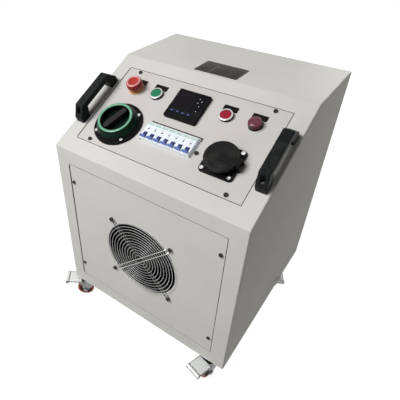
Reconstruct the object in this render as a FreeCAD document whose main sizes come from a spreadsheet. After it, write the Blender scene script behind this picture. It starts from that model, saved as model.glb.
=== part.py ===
import FreeCAD, Part
import math
import os
import Sketcher
from FreeCAD import Placement, Rotation, Vector

# A mobile generator load bank: a sheet metal cabinet on four swivel casters,
# with a fan in its front, a sloping control panel and resistors inside.
# Right is +X, the back is +Y and up is +Z, all in millimetres.
# The origin lies on the floor, under the middle of the whole footprint.

# Driving dimensions: name, value and what it measures
DIMENSIONS = [
    ("cabinet_width", 500, "outside width of the cabinet"),
    ("cabinet_depth", 500, "outside depth of the cabinet"),
    ("cabinet_height", 600, "underside of the cabinet to its flat top"),
    ("front_height", 460, "height of the upright front"),
    ("top_depth", 225, "depth of the flat top behind the slope"),
    ("sheet_thickness", 2, "sheet metal of the cabinet and its panels"),
    ("edge_radius", 3, "bend radius of the outer edges"),
    ("frame_margin", 40, "frame left round every removable panel"),
    ("panel_gap", 1.5, "gap round each flush panel"),
    ("lip_width", 14, "how far the mounting lip reaches behind a panel"),
    ("deck_height", 74, "floor to the underside of the cabinet"),
    ("cabinet_shift_x", 8.87, "cabinet centre to the right of the origin"),
    ("cabinet_shift_y", 22.89, "cabinet centre behind the origin"),
    ("fit_gap", 0.3, "clearance between pieces that only lie beside each other"),
    ("shaft_gap", 0.05, "radial running clearance of shafts and pins"),
    ("pan_rim", 25, "upturned rim of the floor pan"),
    ("control_length", 230, "control panel, measured up the slope"),
    ("control_screw_side", 35, "control panel screws from its side edges"),
    ("control_screw_inset", 7.5, "control panel screws from its upper and lower edge"),
    ("panel_screw_inset", 9, "front and rear panel screws from the side edges"),
    ("panel_screw_drop", 49, "front and rear panel screws from the upper and lower edges"),
    ("screw_shank_radius", 2.5, "panel screw shank"),
    ("screw_head_radius", 4.6, "panel screw head"),
    ("screw_head_height", 2.6, "panel screw head"),
    ("screw_length", 9, "panel screw shank length"),
    ("handle_length", 144, "bridge handle, end to end"),
    ("handle_width", 24, "bridge handle across"),
    ("handle_height", 40, "bridge handle above the slope"),
    ("handle_bar", 13, "thickness of the handle's bar"),
    ("handle_foot", 25, "length of a handle's foot"),
    ("handle_foot_height", 14, "upright part of a handle's foot"),
    ("handle_lean", 20, "how far a leg leans in towards the bar"),
    ("handle_pitch", 120, "distance between a handle's two screws"),
    ("handle_position", -4.3, "handle centre above the control panel's middle"),
    ("handle_screw_radius", 3, "handle screw shank"),
    ("handle_screw_head", 5, "handle screw head radius"),
    ("handle_seat", 7, "counterbore floor above the slope"),
    ("fan_opening", 97.5, "radius of the opening in the front panel"),
    ("fan_pitch", 168, "side of the square of fan screws"),
    ("guard_radius", 106, "outermost ring of the fan guard"),
    ("guard_rings", 12, "number of rings in the fan guard"),
    ("guard_inner", 14, "innermost ring of the fan guard"),
    ("guard_wire", 2.2, "thickness of the guard's wire"),
    ("guard_loop", 4.7, "half the distance between the two wires of a spoke"),
    ("fan_size", 214, "side of the fan's square flange"),
    ("fan_depth", 75, "depth of the fan's ring"),
    ("fan_bore", 101, "inside radius of the fan's ring"),
    ("fan_flange", 4, "thickness of the fan's flange"),
    ("fan_hub", 44, "radius of the fan's hub and motor"),
    ("fan_shaft", 5, "radius of the motor shaft"),
    ("fan_strut", 9, "width of a motor strut"),
    ("blade_count", 7, "blades of the impeller"),
    ("blade_tip", 96, "radius at the blade tips"),
    ("blade_thickness", 2.2, "thickness of a blade"),
    ("blade_chord_root", 38, "width of a blade at the hub"),
    ("blade_chord_tip", 62, "width of a blade at its tip"),
    ("blade_pitch_root", 52, "angle of a blade to the fan's plane at the hub"),
    ("blade_pitch_tip", 27, "angle of a blade to the fan's plane at its tip"),
    ("bank_width", 340, "resistor bank between the outer faces of its plates"),
    ("bank_depth", 300, "depth of the resistor bank"),
    ("bank_height", 330, "height of the resistor bank"),
    ("bank_setback", 40, "resistor bank behind the cabinet's centre"),
    ("bank_foot", 25, "bent foot of a bank plate"),
    ("element_radius", 11, "resistor tube"),
    ("element_overhang", 14, "resistor tube past the plates"),
    ("element_rows", 4, "resistor tubes above each other"),
    ("element_columns", 3, "resistor tubes behind each other"),
    ("tie_radius", 4, "tie rods of the resistor bank"),
    ("rail_width", 35, "width of the mounting rail"),
    ("rail_height", 7.5, "height of the mounting rail"),
    ("rail_length", 160, "length of the mounting rail"),
    ("rail_depth", 44, "rail face below the control panel"),
    ("rail_sheet", 1, "sheet of the mounting rail"),
    ("bank_centre_x", 2.5, "breaker bank from the centre line"),
    ("bank_centre_s", -39.3, "breaker bank above the control panel's middle"),
    ("pole_count", 7, "breaker poles"),
    ("pole_pitch", 18, "width of a breaker pole"),
    ("pole_gap", 0.4, "gap between two breaker poles"),
    ("pole_length", 80, "length of a breaker body"),
    ("nose_length", 45, "length of a breaker's nose"),
    ("nose_height", 10, "breaker nose above the control panel"),
    ("shoulder_depth", 12, "breaker shoulders below the control panel"),
    ("cutout_length", 50.5, "breaker cut-out, measured up the slope"),
    ("cutout_width", 131, "breaker cut-out across"),
    ("toggle_slot", 13, "length of the slot a toggle moves in"),
    ("toggle_width", 9.6, "width of a toggle's hub"),
    ("toggle_radius", 6, "hub of a toggle"),
    ("toggle_depth", 3, "toggle axis below the breaker's nose"),
    ("toggle_offset", 11.5, "toggle axis below the middle of the nose"),
    ("toggle_reach", 9, "toggle axis to the inside of its cross bar"),
    ("toggle_bar", 14, "length of a toggle's cross bar"),
    ("toggle_rest", 46, "angle at which a toggle leans when it is off"),
    ("device_row", 59.7, "button row above the control panel's middle"),
    ("estop_x", -155, "emergency stop from the centre line"),
    ("start_x", -95, "start button from the centre line"),
    ("stop_x", 86, "stop button from the centre line"),
    ("lamp_x", 153, "signal lamp from the centre line"),
    ("device_hole", 11.25, "radius of a control device's hole"),
    ("device_barrel", 11, "radius of a control device's barrel"),
    ("device_nut", 14.5, "radius of a control device's nut"),
    ("device_base", 14.7, "radius of a button's base"),
    ("bezel_radius", 15.8, "radius of a button's bezel"),
    ("bezel_height", 8, "height of a button's bezel"),
    ("cap_radius", 12.4, "radius of a button's cap"),
    ("cap_travel", 4, "travel of a button's cap"),
    ("block_length", 40, "contact block, measured up the slope"),
    ("block_width", 30, "contact block across"),
    ("block_depth", 38, "contact block behind the nut"),
    ("estop_radius", 19.5, "radius of the emergency stop's head"),
    ("estop_height", 29.5, "top of the emergency stop's head"),
    ("estop_skirt", 13, "underside of the emergency stop's head"),
    ("estop_stem", 8, "radius of the emergency stop's stem"),
    ("estop_travel", 4, "travel of the emergency stop"),
    ("lens_radius", 14.4, "radius of the lamp's lens"),
    ("lens_height", 17, "top of the lamp's lens"),
    ("label_width", 34, "label plate across"),
    ("label_length", 14, "label plate, measured up the slope"),
    ("label_thickness", 0.8, "label plate"),
    ("label_offset", 22.3, "label plate above its device"),
    ("meter_x", -4.5, "meter from the centre line"),
    ("meter_s", 51.7, "meter above the control panel's middle"),
    ("meter_bezel", 80, "side of the meter's bezel"),
    ("meter_height", 8, "meter bezel above the panel"),
    ("meter_case", 75, "side of the meter's case"),
    ("meter_cutout", 76, "side of the meter's cut-out"),
    ("meter_depth", 52, "meter case behind the panel"),
    ("display_width", 70, "meter display across"),
    ("display_length", 52, "meter display, measured up the slope"),
    ("display_recess", 2.4, "depth of the display's recess"),
    ("display_thickness", 1.2, "thickness of the display"),
    ("key_count", 4, "keys on the meter"),
    ("key_pitch", 14.2, "distance between the meter's keys"),
    ("key_shift", -5.2, "middle of the meter's keys from the middle of the meter"),
    ("key_width", 10, "meter key across"),
    ("key_length", 5.4, "meter key, measured up the slope"),
    ("key_proud", 1.2, "meter key above the bezel"),
    ("key_travel", 0.8, "travel of a meter key"),
    ("key_gap", 0.25, "gap round a meter key"),
    ("switch_x", -134, "main switch from the centre line"),
    ("switch_s", -46.8, "main switch above the control panel's middle"),
    ("switch_flange", 58.7, "radius of the main switch's flange"),
    ("switch_ring", 42.6, "radius of the main switch's ring"),
    ("switch_well", 34, "radius of the recess in the main switch"),
    ("switch_height", 25, "top of the main switch's ring"),
    ("switch_floor", 8, "floor of the main switch's recess"),
    ("switch_pitch", 72, "side of the square of main switch screws"),
    ("switch_drum", 38, "radius of the main switch's drum"),
    ("switch_depth", 58, "main switch behind the panel"),
    ("grip_length", 65, "bar grip of the main switch"),
    ("grip_width", 14, "bar grip across"),
    ("grip_height", 27, "top of the bar grip"),
    ("grip_turn", 20, "bar grip at rest, clockwise from up the slope"),
    ("grip_spindle", 6, "radius of the grip's spindle"),
    ("socket_x", 134, "socket from the centre line"),
    ("socket_s", -44.3, "socket above the control panel's middle"),
    ("socket_flange", 75, "side of the socket's flange"),
    ("socket_pitch", 61, "side of the square of socket screws"),
    ("socket_collar", 33, "radius of the socket's collar"),
    ("socket_collar_height", 17, "top of the socket's collar"),
    ("socket_well", 25, "radius of the socket's well"),
    ("socket_well_depth", 30, "floor of the well below the panel"),
    ("socket_drum", 29, "radius of the socket behind the panel"),
    ("contact_radius", 3, "contact pin in the socket"),
    ("contact_circle", 14, "radius of the circle of contact pins"),
    ("lid_radius", 36, "radius of the socket's lid"),
    ("lid_thickness", 7, "thickness of the socket's lid"),
    ("hinge_x", 39.2, "lid hinge from the socket's axis"),
    ("hinge_radius", 2.8, "radius of a hinge knuckle"),
    ("hinge_pin", 1.5, "radius of the hinge pin"),
    ("hinge_length", 22, "length of the hinge pin"),
    ("nameplate_width", 112, "nameplate across"),
    ("nameplate_length", 70, "nameplate from front to back"),
    ("nameplate_setback", 10, "nameplate behind the slope's upper edge"),
    ("louvre_width", 160, "length of a louvre"),
    ("louvre_height", 12, "height of a louvre"),
    ("louvre_proud", 7, "how far a louvre stands out"),
    ("louvre_pitch", 30, "distance between louvres"),
    ("louvre_rows", 12, "louvres above each other"),
    ("caster_side_inset", 38, "casters from the sides of the cabinet"),
    ("front_caster_inset", 28, "front caster axis behind the front"),
    ("rear_caster_inset", 90, "rear caster axis from the back"),
    ("mount_plate", 54, "side of a caster's top plate"),
    ("mount_plate_thickness", 3, "caster top plate"),
    ("mount_pitch", 38, "side of the square of caster bolts"),
    ("bolt_radius", 2.9, "caster bolt"),
    ("bolt_hole", 3.2, "radius of a caster bolt's hole"),
    ("wheel_radius", 25, "caster wheel"),
    ("wheel_width", 24, "caster wheel at its hub"),
    ("tread_width", 20, "caster wheel at its tread"),
    ("caster_trail", 22, "wheel axle ahead of the swivel axis"),
    ("axle_radius", 3.9, "wheel axle"),
    ("fork_sheet", 2.5, "sheet of the caster fork"),
    ("fork_side_gap", 1.5, "wheel to the fork's inside"),
    ("race_radius", 20, "swivel race of a caster"),
    ("kingpin_radius", 4, "swivel pin of a caster"),
    ("pedal_width", 42, "brake pedal across"),
    ("pedal_reach", 78, "swivel axis to the pedal's tip"),
    ("pedal_roll", 5, "radius of the pedal's rolled tip"),
    ("pedal_sheet", 2, "sheet of the brake pedal"),
    ("pedal_pivot_x", 27, "pedal pivot ahead of the swivel axis"),
    ("pedal_pivot_z", 19, "pedal pivot below the deck"),
    ("pedal_pin", 2.5, "radius of the pedal's pivot"),
    ("pedal_travel", 12, "angle a pedal is pressed through"),
    ("handle_inset", 20, "handles from the sides of the cabinet"),
    ("handle_bend", 4, "rounding of a handle's bends"),
    ("handle_round", 2.5, "rounding along a handle's outer edges"),
    ("nut_height", 3.2, "height of a nut"),
    ("socket_share", 0.5, "socket of a screw head as a share of the head"),
    ("fan_screw_radius", 2, "fan screw shank"),
    ("fan_screw_head", 5.5, "fan screw head radius"),
    ("fan_nut", 4, "radius of a fan screw's nut"),
    ("screw_tail", 1.6, "how far a screw passes its nut"),
    ("fan_corner", 8, "rounding of square flanges"),
    ("motor_length", 29, "length of the fan motor"),
    ("hub_front", 12, "impeller hub behind the panel"),
    ("hub_length", 30, "length of the impeller hub"),
    ("hub_face", 8, "thickness of the impeller hub's face"),
    ("blade_camber", 5, "how far a blade bulges"),
    ("rail_brim", 5, "brim of the mounting rail"),
    ("nose_bevel", 2, "bevel of a breaker's nose"),
    ("window_width", 4, "window of a breaker, across"),
    ("window_length", 3, "window of a breaker, measured up the slope"),
    ("window_offset", 3.8, "window of a breaker above the middle of its nose"),
    ("terminal_radius", 3.4, "screw access of a breaker"),
    ("terminal_depth", 6, "depth of a breaker's screw access"),
    ("toggle_stem", 4, "thickness of a toggle's lever"),
    ("toggle_lever", 6.7, "width of a toggle's lever"),
    ("toggle_bar_size", 5, "thickness of a toggle's cross bar"),
    ("cutout_shift", 2, "breaker cut-out above the middle of the noses"),
    ("bracket_screw_x", 75, "rail bracket screw from the centre line"),
    ("bracket_screw_s", -46.8, "rail bracket screw above the control panel's middle"),
    ("device_screw_radius", 2, "screw shank of the main switch and socket"),
    ("device_screw_head", 4.2, "screw head of the main switch and socket"),
    ("device_nut_height", 6, "height of a control device's nut"),
    ("collar_flange", 18.5, "radius of the flange round the emergency stop's collar"),
    ("collar_flange_height", 1.9, "thickness of that flange"),
    ("collar_neck", 12.5, "radius of the emergency stop's collar at its top"),
    ("head_pin", 6, "radius of the pin in the emergency stop's head"),
    ("head_socket", 9, "depth of the socket in the emergency stop's head"),
    ("head_ring", 13, "radius of the raised ring on the emergency stop's head"),
    ("head_round", 2, "step of the rounding of the emergency stop's head"),
    ("cap_height", 3.8, "thickness of a button's cap"),
    ("cap_proud", 0.5, "top of a button's cap above its bezel"),
    ("cap_dome", 1.4, "crown of a button's cap"),
    ("cap_stem", 6, "radius of the stem under a button's cap"),
    ("cap_stem_length", 10, "length of the stem under a button's cap"),
    ("lamp_rim", 3, "height of the lamp's base"),
    ("lens_side", 4.2, "upright side of the lamp's lens"),
    ("bezel_edge", 1, "rounding of a button's bezel"),
    ("meter_round", 2.5, "rounding of the meter's corners"),
    ("display_offset", 10, "display above the middle of the meter"),
    ("key_offset", 22.6, "meter keys below the middle of the meter"),
    ("key_depth", 3, "part of a meter key inside its well"),
    ("flange_thickness", 5, "thickness of the main switch's and socket's flange"),
    ("switch_waist", 52, "radius of the main switch's cone at its foot"),
    ("grip_disc", 4, "thickness of the disc under the bar grip"),
    ("grip_clearance", 1, "disc of the bar grip inside its recess"),
    ("grip_round", 2.5, "rounding of the bar grip"),
    ("spindle_length", 12, "length of the grip's spindle"),
    ("lid_ring", 28, "radius of the raised ring on the lid"),
    ("lid_step", 1.4, "height and half width of the ring on the lid"),
    ("knuckle_length", 15.4, "length of the lid's hinge knuckle"),
    ("contact_length", 18, "length of a contact pin in the socket"),
    ("contact_count", 5, "contact pins in the socket"),
    ("louvre_spacing", 30, "between the two columns of louvres"),
    ("race_drop", 6.2, "top of the swivel race below the deck"),
    ("race_thickness", 3.8, "thickness of the swivel race"),
    ("swivel_boss", 12, "radius of the boss under a caster's top plate"),
    ("kingpin_head", 6.8, "radius of the swivel pin's head"),
    ("bolt_nut", 4.6, "radius of a caster bolt's nut"),
    ("bolt_tail", 1.3, "how far a caster bolt passes its nut"),
    ("axle_head", 6.2, "radius of an axle's head"),
    ("leg_nose", 4.7, "fork leg ahead of the pedal's pivot"),
    ("crown_thickness", 4, "thickness of the fork's crown"),
    ("fork_end", 7, "radius of the fork's ends"),
    ("fork_rear", 15, "fork behind the swivel axis"),
    ("wheel_hub", 9, "radius of a wheel's hub"),
    ("wheel_web", 5.4, "half the thickness of a wheel's web"),
    ("tread_depth", 7, "depth of a wheel's tread"),
    ("tread_round", 2, "rounding of a wheel's tread"),
    ("pedal_drop", 9, "middle of the pedal's rolled tip below the deck"),
    ("pedal_heel", 9, "pedal's rear edge below the deck"),
    ("cheek_size", 4.5, "cheek of the pedal round its pivot"),
    ("cheek_reach", 18, "cheek of the pedal ahead of its pivot"),
    ("pedal_pin_head", 3.5, "radius of the head of the pedal's pivot"),
    ("shoe_near", 36, "brake shoe's near edge ahead of the swivel axis"),
    ("shoe_far", 43, "brake shoe's far edge ahead of the swivel axis"),
    ("heading_front_left", -143, "pedal direction of the front left caster"),
    ("heading_front_right", -105.6, "pedal direction of the front right caster"),
    ("heading_rear_right", -60, "pedal direction of the rear right caster"),
    ("heading_rear_left", 115, "pedal direction of the rear left caster"),
]
# How near an edge has to be to the place that is asked for
TINY = 1e-3
# A button cap's crown, as shares of its radius and of its dome
CROWN = [(1, 1), (0.8, 0.35), (0.4, 0)]


class Size:
    """A number together with the formula that binds it to the sheet."""

    def __init__(self, value, text):
        self.value = float(value)
        self.text = text

    def __add__(self, other):
        other = as_size(other)
        return Size(self.value + other.value, f"({self.text} + {other.text})")

    def __sub__(self, other):
        other = as_size(other)
        return Size(self.value - other.value, f"({self.text} - {other.text})")

    def __mul__(self, other):
        other = as_size(other)
        return Size(self.value * other.value, f"({self.text} * {other.text})")

    def __truediv__(self, other):
        other = as_size(other)
        return Size(self.value / other.value, f"({self.text} / {other.text})")

    def __neg__(self):
        return Size(-self.value, f"(0 - {self.text})")

    def __float__(self):
        return self.value


def as_size(number):
    return number if isinstance(number, Size) else Size(number, str(number))


def root(number):
    return Size(math.sqrt(number.value), f"sqrt({number.text})")


doc = FreeCAD.newDocument("generator_load_bank")
sheet = doc.addObject("Spreadsheet::Sheet", "Sizes")
for row, (alias, number, meaning) in enumerate(DIMENSIONS, 1):
    sheet.set(f"A{row}", alias)
    sheet.set(f"B{row}", str(number))
    sheet.set(f"C{row}", meaning)
    sheet.setAlias(f"B{row}", alias)
doc.recompute()
D = {alias: Size(sheet.get(alias), f"Sizes.{alias}") for alias, _, _ in DIMENSIONS}
ZERO = as_size(0)
sub_parts = {}


# Sketch and feature helpers
def new_body(name, several=False):
    body = doc.addObject("PartDesign::Body", name)
    body.AllowCompound = several
    return body


def bind(thing, prop, size):
    thing.setExpression(prop, as_size(size).text)


def origin_plane(body, role):
    return next(item for item in body.Origin.OriginFeatures if item.Role == role)


def new_sketch(body, plane, offset=None, tilt=None, turn=None):
    """A sketch on an origin plane, moved along its normal or tilted about X."""
    sketch = body.newObject("Sketcher::SketchObject", f"{body.Name}_sketch")
    sketch.AttachmentSupport = [(origin_plane(body, plane), "")]
    sketch.MapMode = "FlatFace"
    if offset is not None:
        bind(sketch, "AttachmentOffset.Base.z", offset)
    if tilt is not None:
        along, up, angle = tilt
        bind(sketch, "AttachmentOffset.Base.y", along)
        bind(sketch, "AttachmentOffset.Base.z", up)
        sketch.AttachmentOffset = Placement(Vector(), Rotation(Vector(1, 0, 0), 10))
        sketch.setExpression("AttachmentOffset.Rotation.Angle", angle)
    if turn is not None:
        sketch.AttachmentOffset = Placement(Vector(), Rotation(Vector(0, 0, 1), turn))
    return sketch


def pin_point(sketch, geometry, end, across, up):
    for kind, size in (("DistanceX", as_size(across)), ("DistanceY", as_size(up))):
        index = sketch.addConstraint(
            Sketcher.Constraint(kind, -1, 1, geometry, end, size.value))
        bind(sketch, f"Constraints[{index}]", size)


def polygon(sketch, corners):
    """A closed outline whose corners stay bound to the sizes."""
    corners = [(as_size(across), as_size(up)) for across, up in corners]
    first = sketch.GeometryCount
    for index, (across, up) in enumerate(corners):
        next_across, next_up = corners[(index + 1) % len(corners)]
        sketch.addGeometry(Part.LineSegment(
            Vector(across.value, up.value, 0), Vector(next_across.value, next_up.value, 0)))
    for index in range(len(corners)):
        following = first + (index + 1) % len(corners)
        sketch.addConstraint(Sketcher.Constraint("Coincident", first + index, 2, following, 1))
    for index, (across, up) in enumerate(corners):
        pin_point(sketch, first + index, 1, across, up)


def rectangle(sketch, width, length, across=0, up=0):
    half_width = as_size(width) / 2
    half_length = as_size(length) / 2
    across, up = as_size(across), as_size(up)
    polygon(sketch, [
        (across - half_width, up - half_length), (across + half_width, up - half_length),
        (across + half_width, up + half_length), (across - half_width, up + half_length)])


def circle(sketch, radius, across=0, up=0):
    radius, across, up = as_size(radius), as_size(across), as_size(up)
    index = sketch.addGeometry(Part.Circle(
        Vector(across.value, up.value, 0), Vector(0, 0, 1), radius.value))
    pin_point(sketch, index, 3, across, up)
    constraint = sketch.addConstraint(Sketcher.Constraint("Radius", index, radius.value))
    bind(sketch, f"Constraints[{constraint}]", radius)


def slot(sketch, half_length, radius):
    """A long hole with round ends along the sketch's horizontal axis."""
    half, round_end = half_length.value, radius.value
    normal = Vector(0, 0, 1)
    upper = sketch.addGeometry(Part.LineSegment(
        Vector(half, round_end, 0), Vector(-half, round_end, 0)))
    left = sketch.addGeometry(Part.ArcOfCircle(
        Part.Circle(Vector(-half, 0, 0), normal, round_end), math.pi / 2, 3 * math.pi / 2))
    lower = sketch.addGeometry(Part.LineSegment(
        Vector(-half, -round_end, 0), Vector(half, -round_end, 0)))
    right = sketch.addGeometry(Part.ArcOfCircle(
        Part.Circle(Vector(half, 0, 0), normal, round_end), -math.pi / 2, math.pi / 2))
    for before, after in ((upper, left), (left, lower), (lower, right), (right, upper)):
        sketch.addConstraint(Sketcher.Constraint("Tangent", before, 2, after, 1))
    pin_point(sketch, left, 3, -half_length, ZERO)
    pin_point(sketch, right, 3, half_length, ZERO)
    index = sketch.addConstraint(Sketcher.Constraint("Radius", left, round_end))
    bind(sketch, f"Constraints[{index}]", radius)


def pad(body, sketch, length, symmetric=False, reverse=False):
    feature = body.newObject("PartDesign::Pad", f"{sketch.Name}_pad")
    feature.Profile = sketch
    bind(feature, "Length", length)
    feature.SideType = "Symmetric" if symmetric else "One side"
    feature.Reversed = reverse
    return feature


def pocket(body, sketch, length, symmetric=False, reverse=False):
    """A cut that has to take material away, or the build stops."""
    doc.recompute()
    before = body.Shape.Volume
    feature = body.newObject("PartDesign::Pocket", f"{sketch.Name}_pocket")
    feature.Profile = sketch
    bind(feature, "Length", length)
    feature.SideType = "Symmetric" if symmetric else "One side"
    feature.Reversed = reverse
    doc.recompute()
    if body.Shape.Volume >= before - 1e-6:
        raise RuntimeError(f"{feature.Name} cuts nothing")
    return feature


def turned(body, profile, groove=False):
    """A solid of revolution about Z, or a groove, from radius and height pairs."""
    sketch = new_sketch(body, "XZ_Plane")
    polygon(sketch, profile)
    kind = "Groove" if groove else "Revolution"
    feature = body.newObject(f"PartDesign::{kind}", f"{sketch.Name}_{kind}")
    feature.Profile = sketch
    feature.ReferenceAxis = (sketch, ["V_Axis"])
    feature.Angle = 360
    return feature


def round_edges(body, base, radius, wanted):
    """Rounds the edges of a feature that the test picks."""
    doc.recompute()
    names = [f"Edge{number}" for number, edge in enumerate(base.Shape.Edges, 1) if wanted(edge)]
    feature = body.newObject("PartDesign::Fillet", f"{base.Name}_round")
    feature.Base = (base, names)
    bind(feature, "Radius", radius)
    return feature


def repeat(body, originals, axis, pitch, count):
    """A straight pattern of features along one axis of a sketch."""
    doc.recompute()
    feature = body.newObject("PartDesign::LinearPattern", f"{body.Name}_pattern")
    feature.Originals = originals
    feature.Direction = axis
    feature.Mode = "Spacing"
    bind(feature, "Offset", pitch)
    bind(feature, "Occurrences", count)
    body.Tip = feature
    return feature


def fan_out(body, originals, sketch, angle, count):
    """A pattern of features round the normal of a sketch."""
    doc.recompute()
    feature = body.newObject("PartDesign::PolarPattern", f"{body.Name}_ring")
    feature.Originals = originals
    feature.Axis = (sketch, ["N_Axis"])
    feature.Angle = angle
    bind(feature, "Occurrences", count)
    body.Tip = feature
    return feature


def is_upright(edge):
    start, end = edge.firstVertex().Point, edge.lastVertex().Point
    return abs(start.x - end.x) < TINY and abs(start.y - end.y) < TINY


def together(name, pieces):
    """Several separate solids of the same kind as one sub-part."""
    group = doc.addObject("Part::Compound", name)
    group.Links = pieces
    return group


def finish(thing, label, place=None):
    """Names a sub-part and sets it in the cabinet's frame."""
    thing.Label = label
    thing.Placement = cabinet_place if place is None else place
    sub_parts[label] = thing


# Places: the cabinet's own frame, then frames on its front, back, slope and top
half_width = D["cabinet_width"] / 2
half_depth = D["cabinet_depth"] / 2
slope_run = D["cabinet_depth"] - D["top_depth"]
slope_rise = D["cabinet_height"] - D["front_height"]
slope_length = root(slope_run * slope_run + slope_rise * slope_rise)
slope_angle = math.degrees(math.atan2(slope_rise.value, slope_run.value))
slope_angle_text = f"atan({slope_rise.text} / {slope_run.text})"
slope_centre = slope_length / 2
sheet_metal = D["sheet_thickness"]

cabinet_place = Placement(
    Vector(D["cabinet_shift_x"].value, D["cabinet_shift_y"].value, D["deck_height"].value),
    Rotation())


def in_cabinet(across, back, up, rotation=None):
    position = Vector(float(across), float(back), float(up))
    return cabinet_place.multiply(Placement(position, rotation or Rotation()))


def on_front(across, up, out=0.0):
    """A frame on the front: its Y is up and its Z points to the front."""
    turn = Rotation(Vector(1, 0, 0), 90)
    return in_cabinet(across, -half_depth.value - float(out), up, turn)


def on_rear(across, up, out=0.0):
    """A frame on the back: its Y is up and its Z points to the back."""
    turn = Rotation(Vector(0, 0, 1), 180).multiply(Rotation(Vector(1, 0, 0), 90))
    return in_cabinet(across, half_depth.value + float(out), up, turn)


def on_slope(across, along, out=0.0, turn=0.0):
    """A frame on the slope: its Y runs up the slope and its Z points outwards."""
    foot = in_cabinet(0, -half_depth.value, D["front_height"],
                      Rotation(Vector(1, 0, 0), slope_angle))
    place = Placement(Vector(float(across), float(along), float(out)),
                      Rotation(Vector(0, 0, 1), turn))
    return foot.multiply(place)


def on_control(across, along, out=0.0, turn=0.0):
    """The same frame, measured from the middle of the control panel."""
    return on_slope(across, slope_centre + along, out, turn)


# Removable panels: name, width, length, centre of the panel on its face
panel_width = D["cabinet_width"] - D["frame_margin"] * 2
front_panel_height = D["front_height"] - D["frame_margin"] * 2
rear_panel_height = D["cabinet_height"] - D["frame_margin"] * 2
front_centre = D["front_height"] / 2
rear_centre = D["cabinet_height"] / 2
side_screw_x = panel_width / 2 - D["panel_screw_inset"]
front_screw_y = front_panel_height / 2 - D["panel_screw_drop"]
rear_screw_y = rear_panel_height / 2 - D["panel_screw_drop"]
control_screw_x = panel_width / 2 - D["control_screw_side"]
control_screw_y = D["control_length"] / 2 - D["control_screw_inset"]
handle_x = half_width - D["handle_inset"]


# Casters: name, place on the deck and the direction of the pedal
caster_x = half_width - D["caster_side_inset"]
front_casters_y = D["front_caster_inset"] - half_depth
rear_casters_y = half_depth - D["rear_caster_inset"]
casters = [
    ("fl", -caster_x, front_casters_y, D["heading_front_left"]),
    ("fr", caster_x, front_casters_y, D["heading_front_right"]),
    ("rl", -caster_x, rear_casters_y, D["heading_rear_left"]),
    ("rr", caster_x, rear_casters_y, D["heading_rear_right"])]
fork_inner = D["wheel_width"] / 2 + D["fork_side_gap"]
axle_height = D["wheel_radius"] - D["deck_height"]

# The lid's hinge axis above the socket's flange
hinge_height = D["socket_collar_height"] + D["hinge_pin"] + D["fit_gap"] * 2


def corners_of(across, up):
    return [(across * sx, up * sy) for sx in (-1, 1) for sy in (-1, 1)]


def square_of(side):
    return corners_of(side / 2, side / 2)


def around(across, along, places):
    return [(across + dx, along + dy) for dx, dy in places]


def cosine(angle):
    return Size(math.cos(math.radians(angle.value)), f"cos({angle.text})")


def sine(angle):
    return Size(math.sin(math.radians(angle.value)), f"sin({angle.text})")


def hexagon(sketch, radius, across, up):
    corners = []
    for step in range(6):
        angle = math.radians(60 * step)
        corners.append((across + radius * round(math.cos(angle), 6),
                        up + radius * round(math.sin(angle), 6)))
    polygon(sketch, corners)


def slab(body, width, length, base, height, across=0, up=0, plane="XY_Plane", symmetric=False):
    """A rectangular block that stands on a plane at the given height."""
    sketch = new_sketch(body, plane, base)
    rectangle(sketch, width, length, across, up)
    return pad(body, sketch, height, symmetric=symmetric)


def recess(body, width, length, top, depth, across=0, up=0):
    """A rectangular cut that goes down from the given height."""
    sketch = new_sketch(body, "XY_Plane", top)
    rectangle(sketch, width, length, across, up)
    return pocket(body, sketch, depth)


def boss(body, places, radius, base, height, plane="XY_Plane", symmetric=False):
    """Round bosses that stand on a plane at the given height."""
    sketch = new_sketch(body, plane, base)
    for across, up in places:
        circle(sketch, radius, across, up)
    return pad(body, sketch, height, symmetric=symmetric)


def hole(body, places, radius, top, depth, plane="XY_Plane", symmetric=False):
    """Round holes that go down from the given height."""
    sketch = new_sketch(body, plane, top)
    for across, up in places:
        circle(sketch, radius, across, up)
    return pocket(body, sketch, depth, symmetric=symmetric)


def profile(body, plane, corners, base, height, symmetric=False):
    """A straight extrusion of an outline."""
    sketch = new_sketch(body, plane, base)
    polygon(sketch, corners)
    return pad(body, sketch, height, symmetric=symmetric)


def hexagons(body, places, radius, base, height, cut=False):
    """Hexagonal nuts that stand on a plane, or hexagonal sockets below it."""
    sketch = new_sketch(body, "XY_Plane", base)
    for across, up in places:
        hexagon(sketch, radius, as_size(across), as_size(up))
    return pocket(body, sketch, height) if cut else pad(body, sketch, height)


def screws(name, places, seat, shank, head, head_height, length):
    """Socket head screws: their heads stand on the seat, their shanks go down."""
    body = new_body(name, several=True)
    boss(body, places, head, seat, head_height)
    boss(body, places, shank, seat - length, length)
    hexagons(body, places, head * D["socket_share"], seat + head_height,
             head_height * D["socket_share"], cut=True)
    return body


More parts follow.
